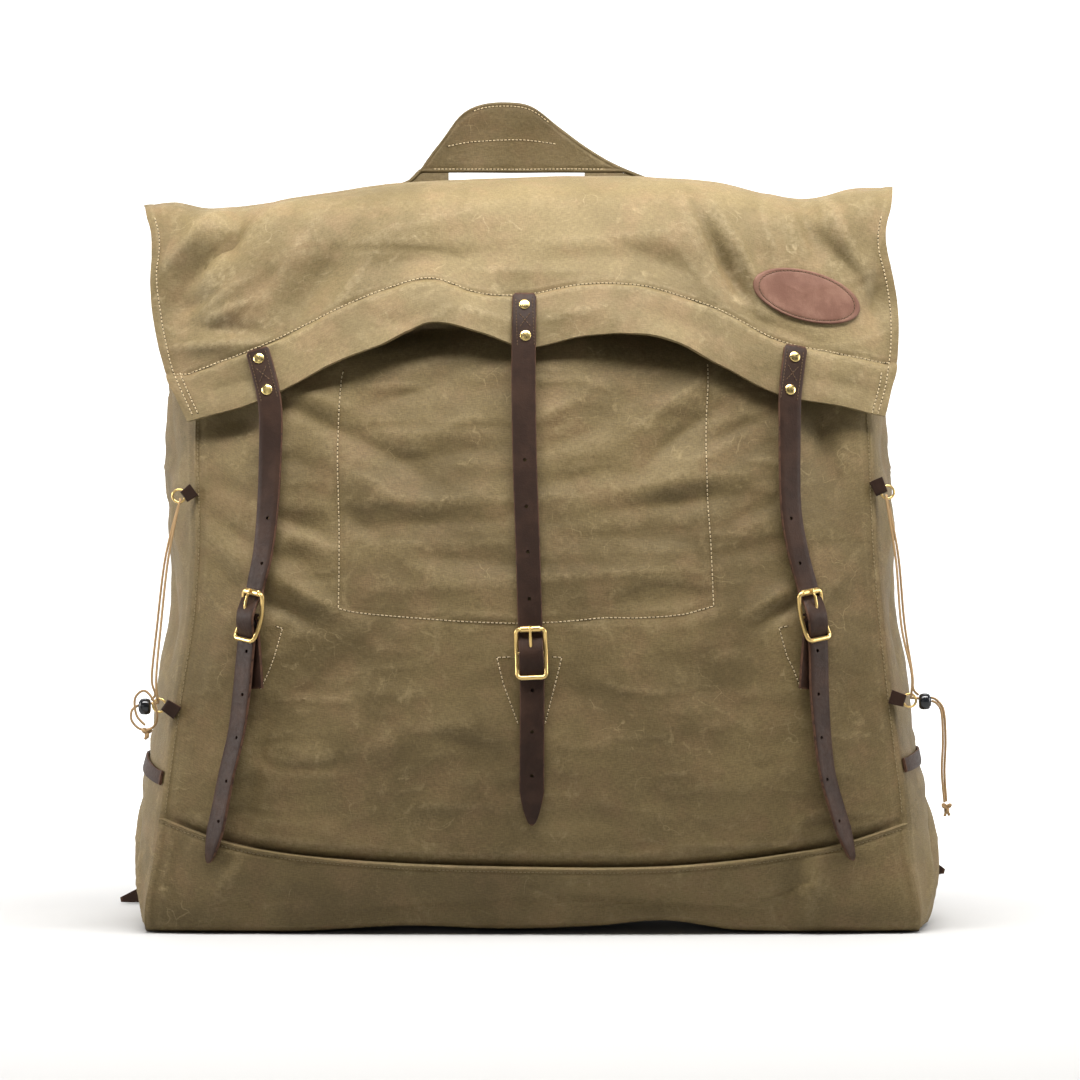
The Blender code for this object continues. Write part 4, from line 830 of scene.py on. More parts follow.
class Skin:
    """The outer faces of laid pieces, for laying other pieces on them."""

    def __init__(self, *trees: BVHTree) -> None:
        """Keeps the pieces' trees."""
        self.trees = trees

    def reach(self, start: Sequence[float], way: Sequence[float]) -> Union[tuple, None]:
        """The nearest hit from a point along a direction, as its point and normal."""
        hits = [hit for hit in (tree.ray_cast(Vector(start), Vector(way)) for tree in self.trees) if hit[0]]
        return min(hits, key=lambda hit: hit[3])[:2] if hits else None

    def hit(self, x: float, z: float, facing: int = -1) -> Union[tuple, None]:
        """The hit seen from the front (-1) or the back (1), in metres."""
        return self.reach((x, facing, z), (0, -facing, 0))

    def depth(self, x: float, z: float, facing: int = -1, without: float = 0.0) -> float:
        """How far the pieces reach to that side, or the given depth where there are none."""
        hit = self.hit(x, z, facing)
        return hit[0].y if hit else without


def taut(reach: Array, limits: Array) -> Array:
    """A strap's depth where it is pulled tight over what lies behind it.

    Args:
        reach: How far along the strap each limit lies.
        limits: The depths that it may not pass.

    Returns:
        The depths of the tight line: on the limits or in front of them.
    """
    hull: list = []
    for k in range(len(limits)):
        while len(hull) > 1:
            a, b = hull[-2], hull[-1]
            rise, far = limits - limits[a], reach - reach[a]
            if rise[b] * far[k] < rise[k] * far[b]:
                break
            hull.pop()
        hull.append(k)
    return np.interp(reach, reach[hull], limits[hull])


def softened(values: Array, times: int) -> Array:
    """The values with their corners rounded off.

    Args:
        values: A line of values.
        times: How often they are averaged with their neighbours.

    Returns:
        The new values.
    """
    values = values.copy()
    for _ in range(times):
        values[1:-1] = (values[:-2] + 2 * values[1:-1] + values[2:]) / 4
    return values


STRAP_SECTION = np.array(
    [(-0.93, 0), (-1, 0.22), (-1, 0.62), (-0.975, 0.84), (-0.9, 0.97), (-0.5, 1), (0, 1),
     (0.5, 1), (0.9, 0.97), (0.975, 0.84), (1, 0.62), (1, 0.22), (0.93, 0), (0, 0)]
)


def leather_strip(left: Array, right: Array, wall: float, outward: Sequence[float] = (0, -1, 0)) -> Shell:
    """A flat leather strip with rounded cut edges.

    Args:
        left: The inner face's edge on one side.
        right: The inner face's edge on the other side.
        wall: Its thickness.
        outward: The side that its face looks to.

    Returns:
        The shell, whose cut edges are marked.
    """
    middle, half = (left + right) / 2, (right - left) / 2
    along = unit(np.gradient(middle, axis=0))
    up = unit(np.cross(along, half))
    up *= np.sign(up @ np.array(outward, float))[:, None]
    s, h = STRAP_SECTION[:, 0], STRAP_SECTION[:, 1]
    sections = middle[:, None] + half[:, None] * s[None, :, None] + up[:, None] * (h * wall)[None, :, None]
    if np.dot(np.cross(half[0], up[0]), along[0]) > 0:
        sections = sections[:, ::-1]
        s, h = s[::-1], h[::-1]
    edge = ((np.abs(s) > 0.95) & (h > 0)).astype(float)
    shell = loft(sections, worn=edge)
    for cap in (slice(0, len(s)), slice(-len(s), None)):
        shell.worn[cap] = 1.0
    return shell


# Finishes


class Signal:
    """A node's output that Python's operators work on, each adding its Math node."""

    def __init__(self, board: "Board", socket: bpy.types.NodeSocket) -> None:
        """Keeps the socket and the board that it is on."""
        self.board = board
        self.socket = socket

    def join(self, operation: str, *others: "Value") -> "Signal":
        """This value and others through one Math node."""
        return self.board.maths(operation, self, *others)

    def __add__(self, other: "Value") -> "Signal":
        """The sum."""
        return self.join("ADD", other)

    __radd__ = __add__

    def __mul__(self, other: "Value") -> "Signal":
        """The product."""
        return self.join("MULTIPLY", other)

    __rmul__ = __mul__

    def __sub__(self, other: "Value") -> "Signal":
        """The difference."""
        return self.join("SUBTRACT", other)

    def __rsub__(self, other: Number) -> "Signal":
        """The difference from a number."""
        return self.board.maths("SUBTRACT", other, self)

    def clamp(self) -> "Signal":
        """The value held between 0 and 1."""
        return self.board.maths("MULTIPLY", self, 1.0, use_clamp=True)

    def between(self, low: float, high: float) -> "Signal":
        """0 under low, 1 over high and smooth between them."""
        return self.board.node(
            "ShaderNodeMapRange",
            {"interpolation_type": "SMOOTHSTEP"},
            {"Value": self, "From Min": low, "From Max": high},
        )


Colour = tuple
Value = Union[Signal, Number]
Link = Union[Signal, Number, Colour]


class Board:
    """A material's node tree with its Principled shader."""

    def __init__(self, name: str) -> None:
        """Makes the material."""
        self.material = bpy.data.materials.new(name)
        self.material.use_nodes = True
        self.tree = self.material.node_tree
        self.shader = self.tree.nodes["Principled BSDF"]

    def node(
        self, kind: str, settings: dict = None, sockets: dict = None, output: Union[int, str] = 0
    ) -> Signal:
        """Adds a node.

        Args:
            kind: The node's type.
            settings: Its own settings, set first.
            sockets: The values or links of its inputs, by name or number.
            output: The output to return.

        Returns:
            That output as a signal.
        """
        made = self.tree.nodes.new(kind)
        for key, value in (settings or {}).items():
            setattr(made, key, value)
        for key, value in (sockets or {}).items():
            self.plug(made.inputs[key], value)
        return Signal(self, made.outputs[output])

    def plug(self, socket: bpy.types.NodeSocket, value: Link) -> None:
        """Links a signal to an input, or sets its constant.

        Args:
            socket: The input.
            value: A signal, a number or a colour.
        """
        if isinstance(value, Signal):
            self.tree.links.new(value.socket, socket)
        elif isinstance(value, tuple) and len(value) == 3 and socket.type == "RGBA":
            socket.default_value = (*value, 1.0)
        else:
            socket.default_value = value

    def maths(self, operation: str, *values: Value, use_clamp: bool = False) -> Signal:
        """A Math node on values or numbers."""
        settings = {"operation": operation, "use_clamp": use_clamp}
        return self.node("ShaderNodeMath", settings, dict(enumerate(values)))

    def mix(self, share: Link, first: Link, second: Link, blend: str = "MIX") -> Signal:
        """Two colours mixed by a share."""
        settings = {"data_type": "RGBA", "blend_type": blend, "clamp_factor": True}
        return self.node("ShaderNodeMix", settings, {0: share, 6: first, 7: second}, 2)

    def place(self) -> Signal:
        """The point's place on the object, in metres."""
        return self.node("ShaderNodeTexCoord", output="Object")

    def weave(self) -> Signal:
        """The point's cloth coordinates, in metres."""
        return self.node("ShaderNodeUVMap", {"uv_map": "cloth"})

    def stretched(self, vector: Signal, scale: Sequence[float]) -> Signal:
        """A vector times another one."""
        return self.node("ShaderNodeVectorMath", {"operation": "MULTIPLY"}, {0: vector, 1: tuple(scale)})

    def bent(self, vector: Signal, by: Signal, amount: float) -> Signal:
        """A vector pushed about by a colour."""
        moved = self.node("ShaderNodeVectorMath", {"operation": "SCALE"}, {0: by, "Scale": amount})
        return self.node("ShaderNodeVectorMath", {"operation": "ADD"}, {0: vector, 1: moved})

    def noise(
        self, vector: Signal, scale: float, detail: float = 3, rough: float = 0.5, output: int = 0
    ) -> Signal:
        """Cloudy noise."""
        sockets = {"Vector": vector, "Scale": scale, "Detail": detail, "Roughness": rough}
        return self.node("ShaderNodeTexNoise", None, sockets, output)

    def cells(self, feature: str, vector: Signal, scale: float) -> Signal:
        """A feature of random cells, such as the distance to their edges."""
        return self.node("ShaderNodeTexVoronoi", {"feature": feature}, {"Vector": vector, "Scale": scale})

    def bump(self, height: Signal, distance: float, strength: float = 1.0, under: Signal = None) -> Signal:
        """A relief's normal."""
        sockets = {"Height": height, "Distance": distance, "Strength": strength}
        return self.node("ShaderNodeBump", None, sockets if under is None else {**sockets, "Normal": under})

    def split(self, vector: Signal) -> tuple:
        """A vector's first two parts."""
        made = self.tree.nodes.new("ShaderNodeSeparateXYZ")
        self.plug(made.inputs[0], vector)
        return Signal(self, made.outputs[0]), Signal(self, made.outputs[1])

    def mark(self, name: str) -> Signal:
        """A value that the mesh carries."""
        return self.node("ShaderNodeAttribute", {"attribute_name": name}, output="Fac")

    def finish(self, **sockets: Link) -> None:
        """Sets or links the shader's inputs, named in small letters."""
        for name, value in sockets.items():
            self.plug(self.shader.inputs[name.replace("_", " ").title().replace("Ior", "IOR")], value)


class Dressing:
    """A finish that is laid out on a board of nodes."""

    def build(self, name: str) -> bpy.types.Material:
        """Makes the material.

        Args:
            name: Its name.

        Returns:
            The material.
        """
        board = Board(name)
        self.lay(board)
        return board.material

    def lay(self, b: Board) -> None:
        """Lays the finish out on a board."""
        raise NotImplementedError


@dataclass(frozen=True)
class WaxedCanvas(Dressing):
    """Waxed cotton duck: a plain weave darkened by wax, paler where it is scuffed or creased."""

    base: Colour = (0.205, 0.153, 0.070)
    deep: Colour = (0.150, 0.110, 0.047)
    rubbed: Colour = (0.360, 0.285, 0.165)
    warm: Colour = (0.235, 0.155, 0.078)
    threads: float = 1150.0

    def lay(self, b: Board) -> None:
        """Lays the finish out on a board."""
        place, cloth_at = b.place(), b.weave()
        clouds = b.noise(place, 9, 4, 0.55)
        blots = b.noise(place, 34, 4, 0.62)
        colour = b.mix(clouds.between(0.38, 0.64), self.deep, self.base)
        colour = b.mix(blots.between(0.42, 0.72) * 0.55, colour, self.warm)
        bent = b.bent(place, b.noise(place, 26, 2, 0.6, output=1), 0.05)
        rub = b.noise(bent, 55, 4, 0.68).between(0.53, 0.76) * b.noise(place, 13, 3).between(0.40, 0.66)
        colour = b.mix(rub * 0.60, colour, self.rubbed)
        fine = 1 - b.cells("DISTANCE_TO_EDGE", bent, 52).between(0.0, 0.030)
        marks = fine * b.noise(b.stretched(place, (1.0, 1.7, 1.3)), 31, 2).between(0.57, 0.69) * 0.6
        colour = b.mix(marks * 0.75, colour, self.rubbed)
        swept = b.noise(b.stretched(bent, (34.0, 34.0, 300.0)), 1.0, 3, 0.6).between(0.60, 0.74)
        crown = b.mark("worn").between(0.10, 1.0)
        rubs = (swept * b.noise(place, 16, 2).between(0.44, 0.62) * 0.8 + crown * 0.45).clamp()
        colour = b.mix(rubs * b.noise(place, 190, 3, 0.7).between(0.30, 0.66) * 0.55, colour, self.rubbed)
        slub = b.noise(b.stretched(cloth_at, (230.0, 1250.0, 1.0)), 1.0, 3, 0.6)
        warp = b.noise(b.stretched(cloth_at, (1250.0, 260.0, 1.0)), 1.0, 3, 0.6)
        grain = slub * 0.6 + warp * 0.4
        shade = b.mix(grain.between(0.34, 0.68), (0.76, 0.75, 0.73), (1.16, 1.17, 1.18))
        colour = b.mix(1.0, colour, shade, "MULTIPLY")
        u, v = b.split(cloth_at)
        turns = 2 * pi * self.threads
        over = b.maths("SINE", u * turns) * b.maths("SINE", v * turns)
        relief = over * 0.25 + grain * 0.9
        normal = b.bump(relief, 0.00022, 0.7)
        crinkle = b.noise(place, 60, 4, 0.62) + b.noise(place, 24, 1) * 1.4
        normal = b.bump(crinkle, 0.0022, 0.55, normal)
        rough = (0.70 + rub * 0.16 + marks * 0.1 - grain * 0.08).clamp()
        b.finish(base_color=colour, roughness=rough, normal=normal, specular_ior_level=0.32)


@dataclass(frozen=True)
class Leather(Dressing):
    """Bridle leather: fine pores, soft wax bloom, and cut edges of a lighter brown."""

    body: Colour
    bloom: Colour
    cut: Colour
    gloss: float = 0.50
    pores: float = 900.0

    def lay(self, b: Board) -> None:
        """Lays the finish out on a board."""
        place = b.place()
        colour = b.mix(b.noise(place, 42, 5, 0.6).between(0.36, 0.72), self.body, self.bloom)
        streaks = b.noise(b.stretched(place, (330.0, 330.0, 34.0)), 1.0, 4, 0.6)
        colour = b.mix(streaks.between(0.56, 0.78) * 0.35, colour, self.bloom)
        edge = b.mark("worn").between(0.35, 0.75)
        edge = edge * b.noise(place, 240, 3).between(0.25, 0.60)
        colour = b.mix(edge, colour, self.cut)
        pebble = b.cells("SMOOTH_F1", place, self.pores)
        fine = b.noise(place, 420, 4, 0.6)
        normal = b.bump(pebble * 0.6 + fine, 0.00022, 0.6)
        rough = (self.gloss + fine.between(0.3, 0.8) * 0.16 + edge * 0.2 + streaks * 0.05).clamp()
        b.finish(base_color=colour, roughness=rough, normal=normal, specular_ior_level=0.20)


@dataclass(frozen=True)
class Brass(Dressing):
    """Solid brass, softly polished, a little darker where it is handled least."""

    bright: Colour = (0.86, 0.63, 0.24)
    dull: Colour = (0.60, 0.40, 0.13)

    def lay(self, b: Board) -> None:
        """Lays the finish out on a board."""
        place = b.place()
        patina = b.noise(place, 160, 4, 0.6)
        colour = b.mix(patina.between(0.48, 0.80) * 0.8, self.bright, self.dull)
        scratches = b.noise(b.stretched(place, (2600.0, 2600.0, 420.0)), 1.0, 3, 0.6)
        rough = (0.20 + patina.between(0.4, 0.8) * 0.14 + scratches * 0.08).clamp()
        normal = b.bump(scratches + patina * 2.0, 0.00006, 0.5)
        b.finish(base_color=colour, roughness=rough, metallic=1.0, normal=normal)


@dataclass(frozen=True)
class Twine(Dressing):
    """Laid or braided cotton: strands that wind round it, with painted shade darkening the grooves between
    them and random fuzz tone.
    """

    pale: Colour
    dark: Colour
    winds: float = 900.0
    plies: float = 2.0

    def lay(self, b: Board) -> None:
        """Lays the finish out on a board."""
        along, turn = b.split(b.weave())
        along, turn = along * (2 * pi * self.winds), turn * (2 * pi * self.plies)
        strand = b.maths("MAXIMUM", b.maths("SINE", along + turn), b.maths("SINE", along - turn))
        fuzz = b.noise(b.place(), 700, 4, 0.65)
        # The dark colour goes where the strands' height is lowest, as painted shade in the grooves, mixed with
        # random fuzz tone.
        colour = b.mix((strand.between(-0.2, 0.9) * 0.6 + fuzz * 0.4).clamp(), self.dark, self.pale)
        normal = b.bump(strand + fuzz * 0.8, 0.00018, 0.8)
        rough = (0.74 + fuzz * 0.2).clamp()
        b.finish(base_color=colour, roughness=rough, normal=normal, specular_ior_level=0.25)


@dataclass(frozen=True)
class Moulded(Dressing):
    """Black moulded plastic with a fine orange-peel."""

    colour: Colour = (0.010, 0.011, 0.013)

    def lay(self, b: Board) -> None:
        """Lays the finish out on a board."""
        peel = b.noise(b.place(), 650, 3, 0.55)
        dust = b.noise(b.place(), 180, 5, 0.7).between(0.58, 0.80)
        colour = b.mix(dust * 0.35, self.colour, (0.045, 0.045, 0.048))
        rough = (0.17 + dust * 0.2).clamp()
        b.finish(base_color=colour, roughness=rough, normal=b.bump(peel, 0.00005, 0.4))


@dataclass(frozen=True)
class PaleGround(Dressing):
    """The studio's white floor."""

    near: Colour = (0.50, 0.50, 0.50)
    colour: Colour = (0.90, 0.90, 0.90)

    def lay(self, b: Board) -> None:
        """Lays the finish out on a board."""
        far = b.split(b.place())[1].between(-0.1, 0.9)
        tone = b.mix(far, self.near, self.colour)
        glow = b.mix(far, (0.0, 0.0, 0.0), (1.0, 1.0, 1.0))
        b.finish(base_color=tone, roughness=0.9, emission_color=glow, emission_strength=0.6)


class Finish(Enum):
    """The pack's finishes, each made once."""

    CANVAS = WaxedCanvas()
    # A darker copy of the flap's canvas for the body panels: its darkness is painted shade, standing in for
    # the front, base, back and sides being less lit than the flap.
    FULL_WAX = WaxedCanvas(
        (0.148, 0.106, 0.042), (0.106, 0.074, 0.027), (0.275, 0.208, 0.105), (0.170, 0.107, 0.048)
    )
    # A still darker copy of the canvas for the haul handle: painted shade for the handle lying less lit than
    # the flap.
    HANDLE_WAX = WaxedCanvas(
        (0.108, 0.077, 0.031), (0.080, 0.056, 0.021), (0.225, 0.170, 0.088), (0.125, 0.079, 0.036)
    )
    STRAP = Leather((0.020, 0.0085, 0.0045), (0.037, 0.0175, 0.0100), (0.078, 0.037, 0.021))
    PATCH = Leather((0.132, 0.062, 0.042), (0.198, 0.106, 0.074), (0.110, 0.045, 0.028), 0.52, 1100.0)
    BRASS = Brass()
    RIVET = Brass((0.88, 0.68, 0.27), (0.68, 0.49, 0.17))
    THREAD = Twine((0.60, 0.49, 0.31), (0.36, 0.27, 0.15))
    SEAM_THREAD = Twine((0.300, 0.235, 0.130), (0.190, 0.140, 0.070))
    DARK_THREAD = Twine((0.150, 0.090, 0.050), (0.070, 0.040, 0.024))
    # Near-black discs laid at the needle holes: painted shade standing in for the holes' depth.
    HOLE = Twine((0.030, 0.021, 0.011), (0.018, 0.012, 0.006))
    CORD = Twine((0.470, 0.330, 0.160), (0.230, 0.150, 0.066), 330.0, 3.0)
    LOCK = Moulded()
    GROUND = PaleGround()

    @property
    def material(self) -> bpy.types.Material:
        """The finish's material, built on first use."""
        name = self.name.lower()
        return bpy.data.materials.get(name) or self.value.build(name)

    @property
    def slot(self) -> str:
        """The record's material slot that the finish belongs to."""
        return SLOTS.get(self, "cord")


SLOTS = {
    Finish.CANVAS: "waxed_canvas",
    Finish.FULL_WAX: "waxed_canvas",
    Finish.HANDLE_WAX: "waxed_canvas",
    Finish.STRAP: "strap_leather",
    Finish.PATCH: "patch_leather",
    Finish.BRASS: "brass",
    Finish.RIVET: "brass",
    Finish.LOCK: "black_plastic",
}


# Studio


@dataclass
class Studio:
    """The pale ground, the soft lights and the camera."""

    camera_at: tuple = (0.0063, -2.605, 0.3073)
    focal: float = 106.6
    sensor: float = 36.0

    def build(self) -> None:
        """Sets all of it up."""
        self.place_camera()
        self.lay_ground()
        self.hang_lights()

    def place_camera(self) -> None:
        """The photograph's level view."""
        lens = bpy.data.cameras.new("camera")
        lens.lens = self.focal
        lens.sensor_width = self.sensor
        lens.clip_end = 50
        camera = in_scene("camera", lens)
        camera.location = self.camera_at
        camera.rotation_euler = (pi / 2, 0, 0)
        bpy.context.scene.camera = camera

    def lay_ground(self) -> None:
        """A floor that sweeps up behind into a backdrop."""
        line = [(-6.0, 0.0), (2.2, 0.0)]
        line += [(2.2 + 1.2 * sin(a), 1.2 - 1.2 * cos(a)) for a in np.linspace(0, pi / 2, 12)[1:]]
        line += [(3.4, 5.0)]
        points = [[(x, y, z - 0.0004) for x in (-6.0, 6.0)] for y, z in line]
        mesh = bpy.data.meshes.new("ground")
        flat = [p for row in points for p in row]
        mesh.from_pydata(flat, [], [(2 * k, 2 * k + 1, 2 * k + 3, 2 * k + 2) for k in range(len(points) - 1)])
        mesh.shade_smooth()
        mesh.materials.append(Finish.GROUND.material)
        in_scene("ground", mesh)

    def hang_lights(self) -> None:
        """A large soft box above the front, gentle fills and a white room."""
        for name, place, target, size, power in (
            ("key", (0.08, -0.50, 1.34), (0.03, -0.15, 0.45), (1.5, 0.30), 36.0),
            ("left", (-1.7, -0.14, 0.62), (0, 0, 0.3), (0.6, 0.9), 26.0),
            ("right", (1.7, -0.14, 0.66), (0, 0, 0.3), (0.6, 0.9), 19.0),
            ("front", (-1.3, -3.6, 0.9), (0, 0, 0.3), (1.2, 0.8), 6.0),
            ("behind", (0.0, 1.3, 2.4), (0, 2.6, 0.6), (2.8, 1.0), 40.0),
        ):
            lamp = bpy.data.lights.new(name, "AREA")
            lamp.shape = "RECTANGLE"
            lamp.size, lamp.size_y = size
            lamp.energy = power
            lamp.color = (1.0, 0.985, 0.96)
            box = in_scene(name, lamp)
            box.location = place
            box.rotation_euler = (Vector(target) - Vector(place)).to_track_quat("-Z", "Y").to_euler()
        world = bpy.data.worlds.new("white_room")
        world.use_nodes = True
        world.node_tree.nodes["Background"].inputs["Color"].default_value = (1.0, 1.0, 1.0, 1.0)
        world.node_tree.nodes["Background"].inputs["Strength"].default_value = 0.05
        bpy.context.scene.world = world
        bpy.context.scene.view_settings.view_transform = "Standard"


# Cords


BARREL = (
    (0.0, -1.0), (0.62, -1.0), (0.78, -0.96), (0.93, -0.72), (1.0, -0.35), (1.0, 0.25), (0.96, 0.55),
    (0.86, 0.78), (0.70, 0.82), (0.64, 0.86), (0.62, 0.98), (0.5, 1.0), (0.0, 1.0),
)


@dataclass
class CordWork:
    """The laced side cords with their tails, knots and slide locks."""

    radius: float = CORD_RADIUS
    lock_radius: float = 6.4
    lock_length: float = 9.0
    step: float = 0.9 * MM

    def build(self) -> None:
        """Makes every cord and what is on it."""
        for side in ("left", "right"):
            self.lace(side)
            self.lock(side)
        knots = {side: self.knot(side) for side in ("left", "right")}
        for name, route in CORD_TAILS.items():
            self.tail(name, route, knots[name.split("_")[0]])

    def line(self, route: Points) -> Array:
        """A route as a dense line in metres."""
        points = np.array(route, float) * MM
        return through(points, max(24, round(run_length(points) / self.step)))

    def lace(self, side: str) -> None:
        """The doubled cord between the rings."""
        shell = wire(self.line(SIDE_CORDS[side]), self.radius, 12)
        shell.make(f"laced_cord_{side}", Finish.CORD, f"side_cord_{side}")

    def tail(self, name: str, route: Points, knot: Piece) -> None:
        """A cord's loose end below its lock.

        Args:
            name: The cord's name.
            route: Its points in millimetres.
            knot: Not used.
        """
        line = self.line(route)
        piece = wire(line, self.radius, 12).make(f"loose_cord_{name}", Finish.CORD, f"cord_tail_{name}")

    def knot(self, side: str) -> Piece:
        """An overhand knot with its short frayed ends.

        Args:
            side: "left" or "right".

        Returns:
            The knot's object.
        """
        x, y, z = (value * MM for value in KNOTS[side])
        t = np.linspace(0, 2 * pi, 90, endpoint=False)
        ring = 2.6 * MM
        across = (np.sin(t) + 1.1 * np.sin(2 * t)) * ring * 0.62
        up = (np.cos(t) - 1.1 * np.cos(2 * t)) * ring * 0.72
        path = np.stack([x + across, y + np.sin(3 * t) * ring * 0.5, z + up], axis=1)
        shell = wire(path, 1.25 * MM, 10, closed=True)
        for lean, drop in ((-0.9, 6.8), (1.2, 6.2)) if side == "right" else ((-0.8, 5.4),):
            bends = ((0.4 * lean, 0, -1.5), (lean, -0.3, -4), (1.8 * lean, 0, -drop))
            end = through([(x + a * MM, y + b * MM, z + c * MM) for a, b, c in bends], 14)
            shell = shell + wire(end, np.linspace(1, 1.25, 14) * self.radius, 10)
        return shell.make(f"stopper_knot_{side}", Finish.CORD, f"cord_knot_{side}")

    def lock(self, side: str) -> None:
        """A barrel slide lock with its push button.

        Args:
            side: "left" or "right".
        """
        x, z = LOCKS[side]
        sign = -1 if x < 0 else 1
        r, half = self.lock_radius, self.lock_length / 2
        profile = [(r * radius * MM, half * height * MM) for radius, height in BARREL]
        shell = turned(profile, (x * MM, LOCK_Y * MM, z * MM), (sign, 0, 0), 32)
        shell.make(f"slide_lock_{side}", Finish.LOCK, f"cord_lock_{side}", sharp=50)


# Canvas


@dataclass
class CanvasBody:
    """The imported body: front, base, back and the two side gussets."""

    columns: int = 200
    rows: int = 170
    lap: float = 3.2 * MM
    turn_in: float = 6 * MM
    under_step: float = 11 * MM
    back_gap: float = 3.5 * MM
    corner_height: float = 14 * MM
    mouth_depth: float = 40 * MM
    crumple: Crumple = field(default_factory=lambda: Crumple(11))
    front: Shell = None
    base: Shell = None
    back: Shell = None
    sides: dict = field(default_factory=dict)

    def build(self) -> None:
        """Makes the panels and puts them on the frame."""
        self.front = cloth(self.front_grid())
        self.base = cloth(self.base_grid())
        self.back = cloth(self.back_grid())
        self.sides = {side: cloth(self.side_grid(side)) for side in ("left", "right")}
        gusset = (0.24, 0.58)
        for name, shell, node, flat in (
            ("front_canvas", self.front, "front_panel", (0.64, 0.53)),
            ("base_canvas", self.base, "base_panel", (0.66, 0.31)),
            ("back_canvas", self.back, "back_panel", (0.58, 0.56)),
            ("gusset_canvas_left", self.sides["left"], "gusset_left", gusset),
            ("gusset_canvas_right", self.sides["right"], "gusset_right", gusset),
        ):
            # The body panels take the darker canvas copy, whose darkness is painted shade.
            piece = shell.make(name, Finish.FULL_WAX, node)
            self.area(shell)

    @staticmethod
    def area(shell: Shell) -> float:
        """The area of a panel's outer face.

        Args:
            shell: The panel.

        Returns:
            The area in square metres.
        """
        corners = shell.points[shell.quads[: len(shell.quads) // 2]]
        one = np.cross(corners[:, 1] - corners[:, 0], corners[:, 2] - corners[:, 0])
        two = np.cross(corners[:, 2] - corners[:, 0], corners[:, 3] - corners[:, 0])
        return float((np.linalg.norm(one, axis=1) + np.linalg.norm(two, axis=1)).sum() / 2)

    def shares(self) -> Array:
        """The columns' shares of the front, a little past both seams."""
        return np.linspace(-PAST_SEAM, PAST_SEAM, self.columns + 1)[None]

    def wrinkle(self, x: Array, z: Array) -> Array:
        """Small soft wrinkles all over, in metres inward.

        Args:
            x: Across the panel, in metres.
            z: Up it.

        Returns:
            The depth at each point.
        """
        relief, creases = self.crumple, self.crumple.creases
        soft = relief(x, z, 46 * MM, 30 * MM) + relief(x + 0.31, z, 21 * MM, 12 * MM) * 0.5
        lines = creases(x + 0.13, z, 70 * MM, 30 * MM) * relief(x, z + 0.2, 60 * MM, 50 * MM)
        sharp = creases(x, z + 0.31, 34 * MM, 15 * MM) * relief(x + 0.7, z, 45 * MM, 40 * MM)
        return (soft * 0.9 + lines * 1.8 + sharp * 0.6) * MM

    def front_grid(self) -> Array:
        """The front panel's outer face, from under the base panel to the mouth.

        Returns:
            Its grid of points.
        """
        u = self.shares()
        t = np.linspace(-0.03, 1, self.rows + 1)[:, None]
        seam = BODY.seam_z(np.clip(u, -1, 1))
        z = seam + (BODY_TOP * MM - seam) * t
        x = BODY.x_at(np.clip(u, -1, 1), z)
        y = BODY.front_y(x, z)
        y = y + self.wrinkle(x, z) * off_seams(u, 5) * np.clip((0.44 - z) / 0.03 + 1, 0.25, 1)
        crevice = bell(z - seam - 1.2 * MM, 3.4 * MM) * 4.5 * MM * (1 - np.abs(u) ** 12)
        y = y + self.pocket_groove(x, z) + self.edge_roll(u) + crevice
        return np.stack([x, y, z], axis=2)

    @staticmethod
    def edge_roll(u: Array) -> Array:
        """The seam allowance: a low ridge at the seams that turns back past them.

        Args:
            u: Shares of the front, past -1 and 1 at the allowance.

        Returns:
            How far back the cloth goes there.
        """
        past = np.clip(np.abs(u) - 1, 0, 1) / (PAST_SEAM - 1)
        ridge = bell(np.abs(u) - 0.992, 0.006) - 0.8 * bell(np.abs(u) - 0.980, 0.004)
        return past**2 * 5 * MM - ridge * 0.7 * MM

    @staticmethod
    def pocket_groove(x: Array, z: Array) -> Array:
        """Puckers along the stitches of the inside pocket.

        Args:
            x: Across the front, in metres.
            z: Up it.

        Returns:
            The depth at each point.
        """
        total = np.zeros(x.shape)
        line = np.array(POCKET_STITCHES, float) * MM
        for (ax, az), (dx, dz) in zip(line, np.diff(line, axis=0)):
            share = np.clip(((x - ax) * dx + (z - az) * dz) / (dx * dx + dz * dz), 0, 1)
            gap = np.hypot(x - ax - share * dx, z - az - share * dz)
            total = np.maximum(total, bell(gap, 2.2 * MM))
        pucker = 1 + 0.5 * np.sin((x + z) / (7.3 * MM)) * np.sin((x - z) / (11.9 * MM))
        return total * pucker * 0.8 * MM

    def base_grid(self) -> Array:
        """The base panel: over the front's lower edge, round the bottom and back underneath.

        Returns:
            Its grid of points.
        """
        u = self.shares()
        v = np.clip(u, -1, 1)
        lift, seam = BODY.lift_z(v), BODY.seam_z(v)
        shares = np.concatenate([np.linspace(0.03, 0.12, 8)[:-1], np.linspace(0.12, 1.0, 56)])[:, None]
        z = lift + (seam - lift) * shares
        x = BODY.x_at(v, z)
        lap = self.lap * (1 - np.abs(v) ** 16)
        turn_in = self.turn_in * np.clip(1 - shares / 0.11, 0, 1) ** 2
        y = BODY.front_y(x, z) - lap + turn_in + self.wrinkle(x, z) * off_seams(u, 5)
        hem = (seam - z) / MM
        y = y + (bell(hem - 4.2, 1.3) * 0.8 - bell(hem - 1.2, 2.2) * 0.9 + bell(hem, 0.8) * 1.8) * MM
        y = y + self.edge_roll(u)
        face = np.stack([x, y, z], axis=2)
        under = []
        for share in np.linspace(0, 1, 18)[::-1]:
            x = BODY.x_at(v, 0.0) * (1 + (REAR_SPREAD - 1) * share)
            z = lift * (1 - share) ** 3
            front = BODY.front_y(x, z) - lap + self.under_step
            rear = BODY.back_y(v, 0.0) - self.back_gap
            under.append(np.stack([x, front + (rear - front) * share, z], axis=2))
        return np.vstack([np.concatenate(under, axis=0), face])

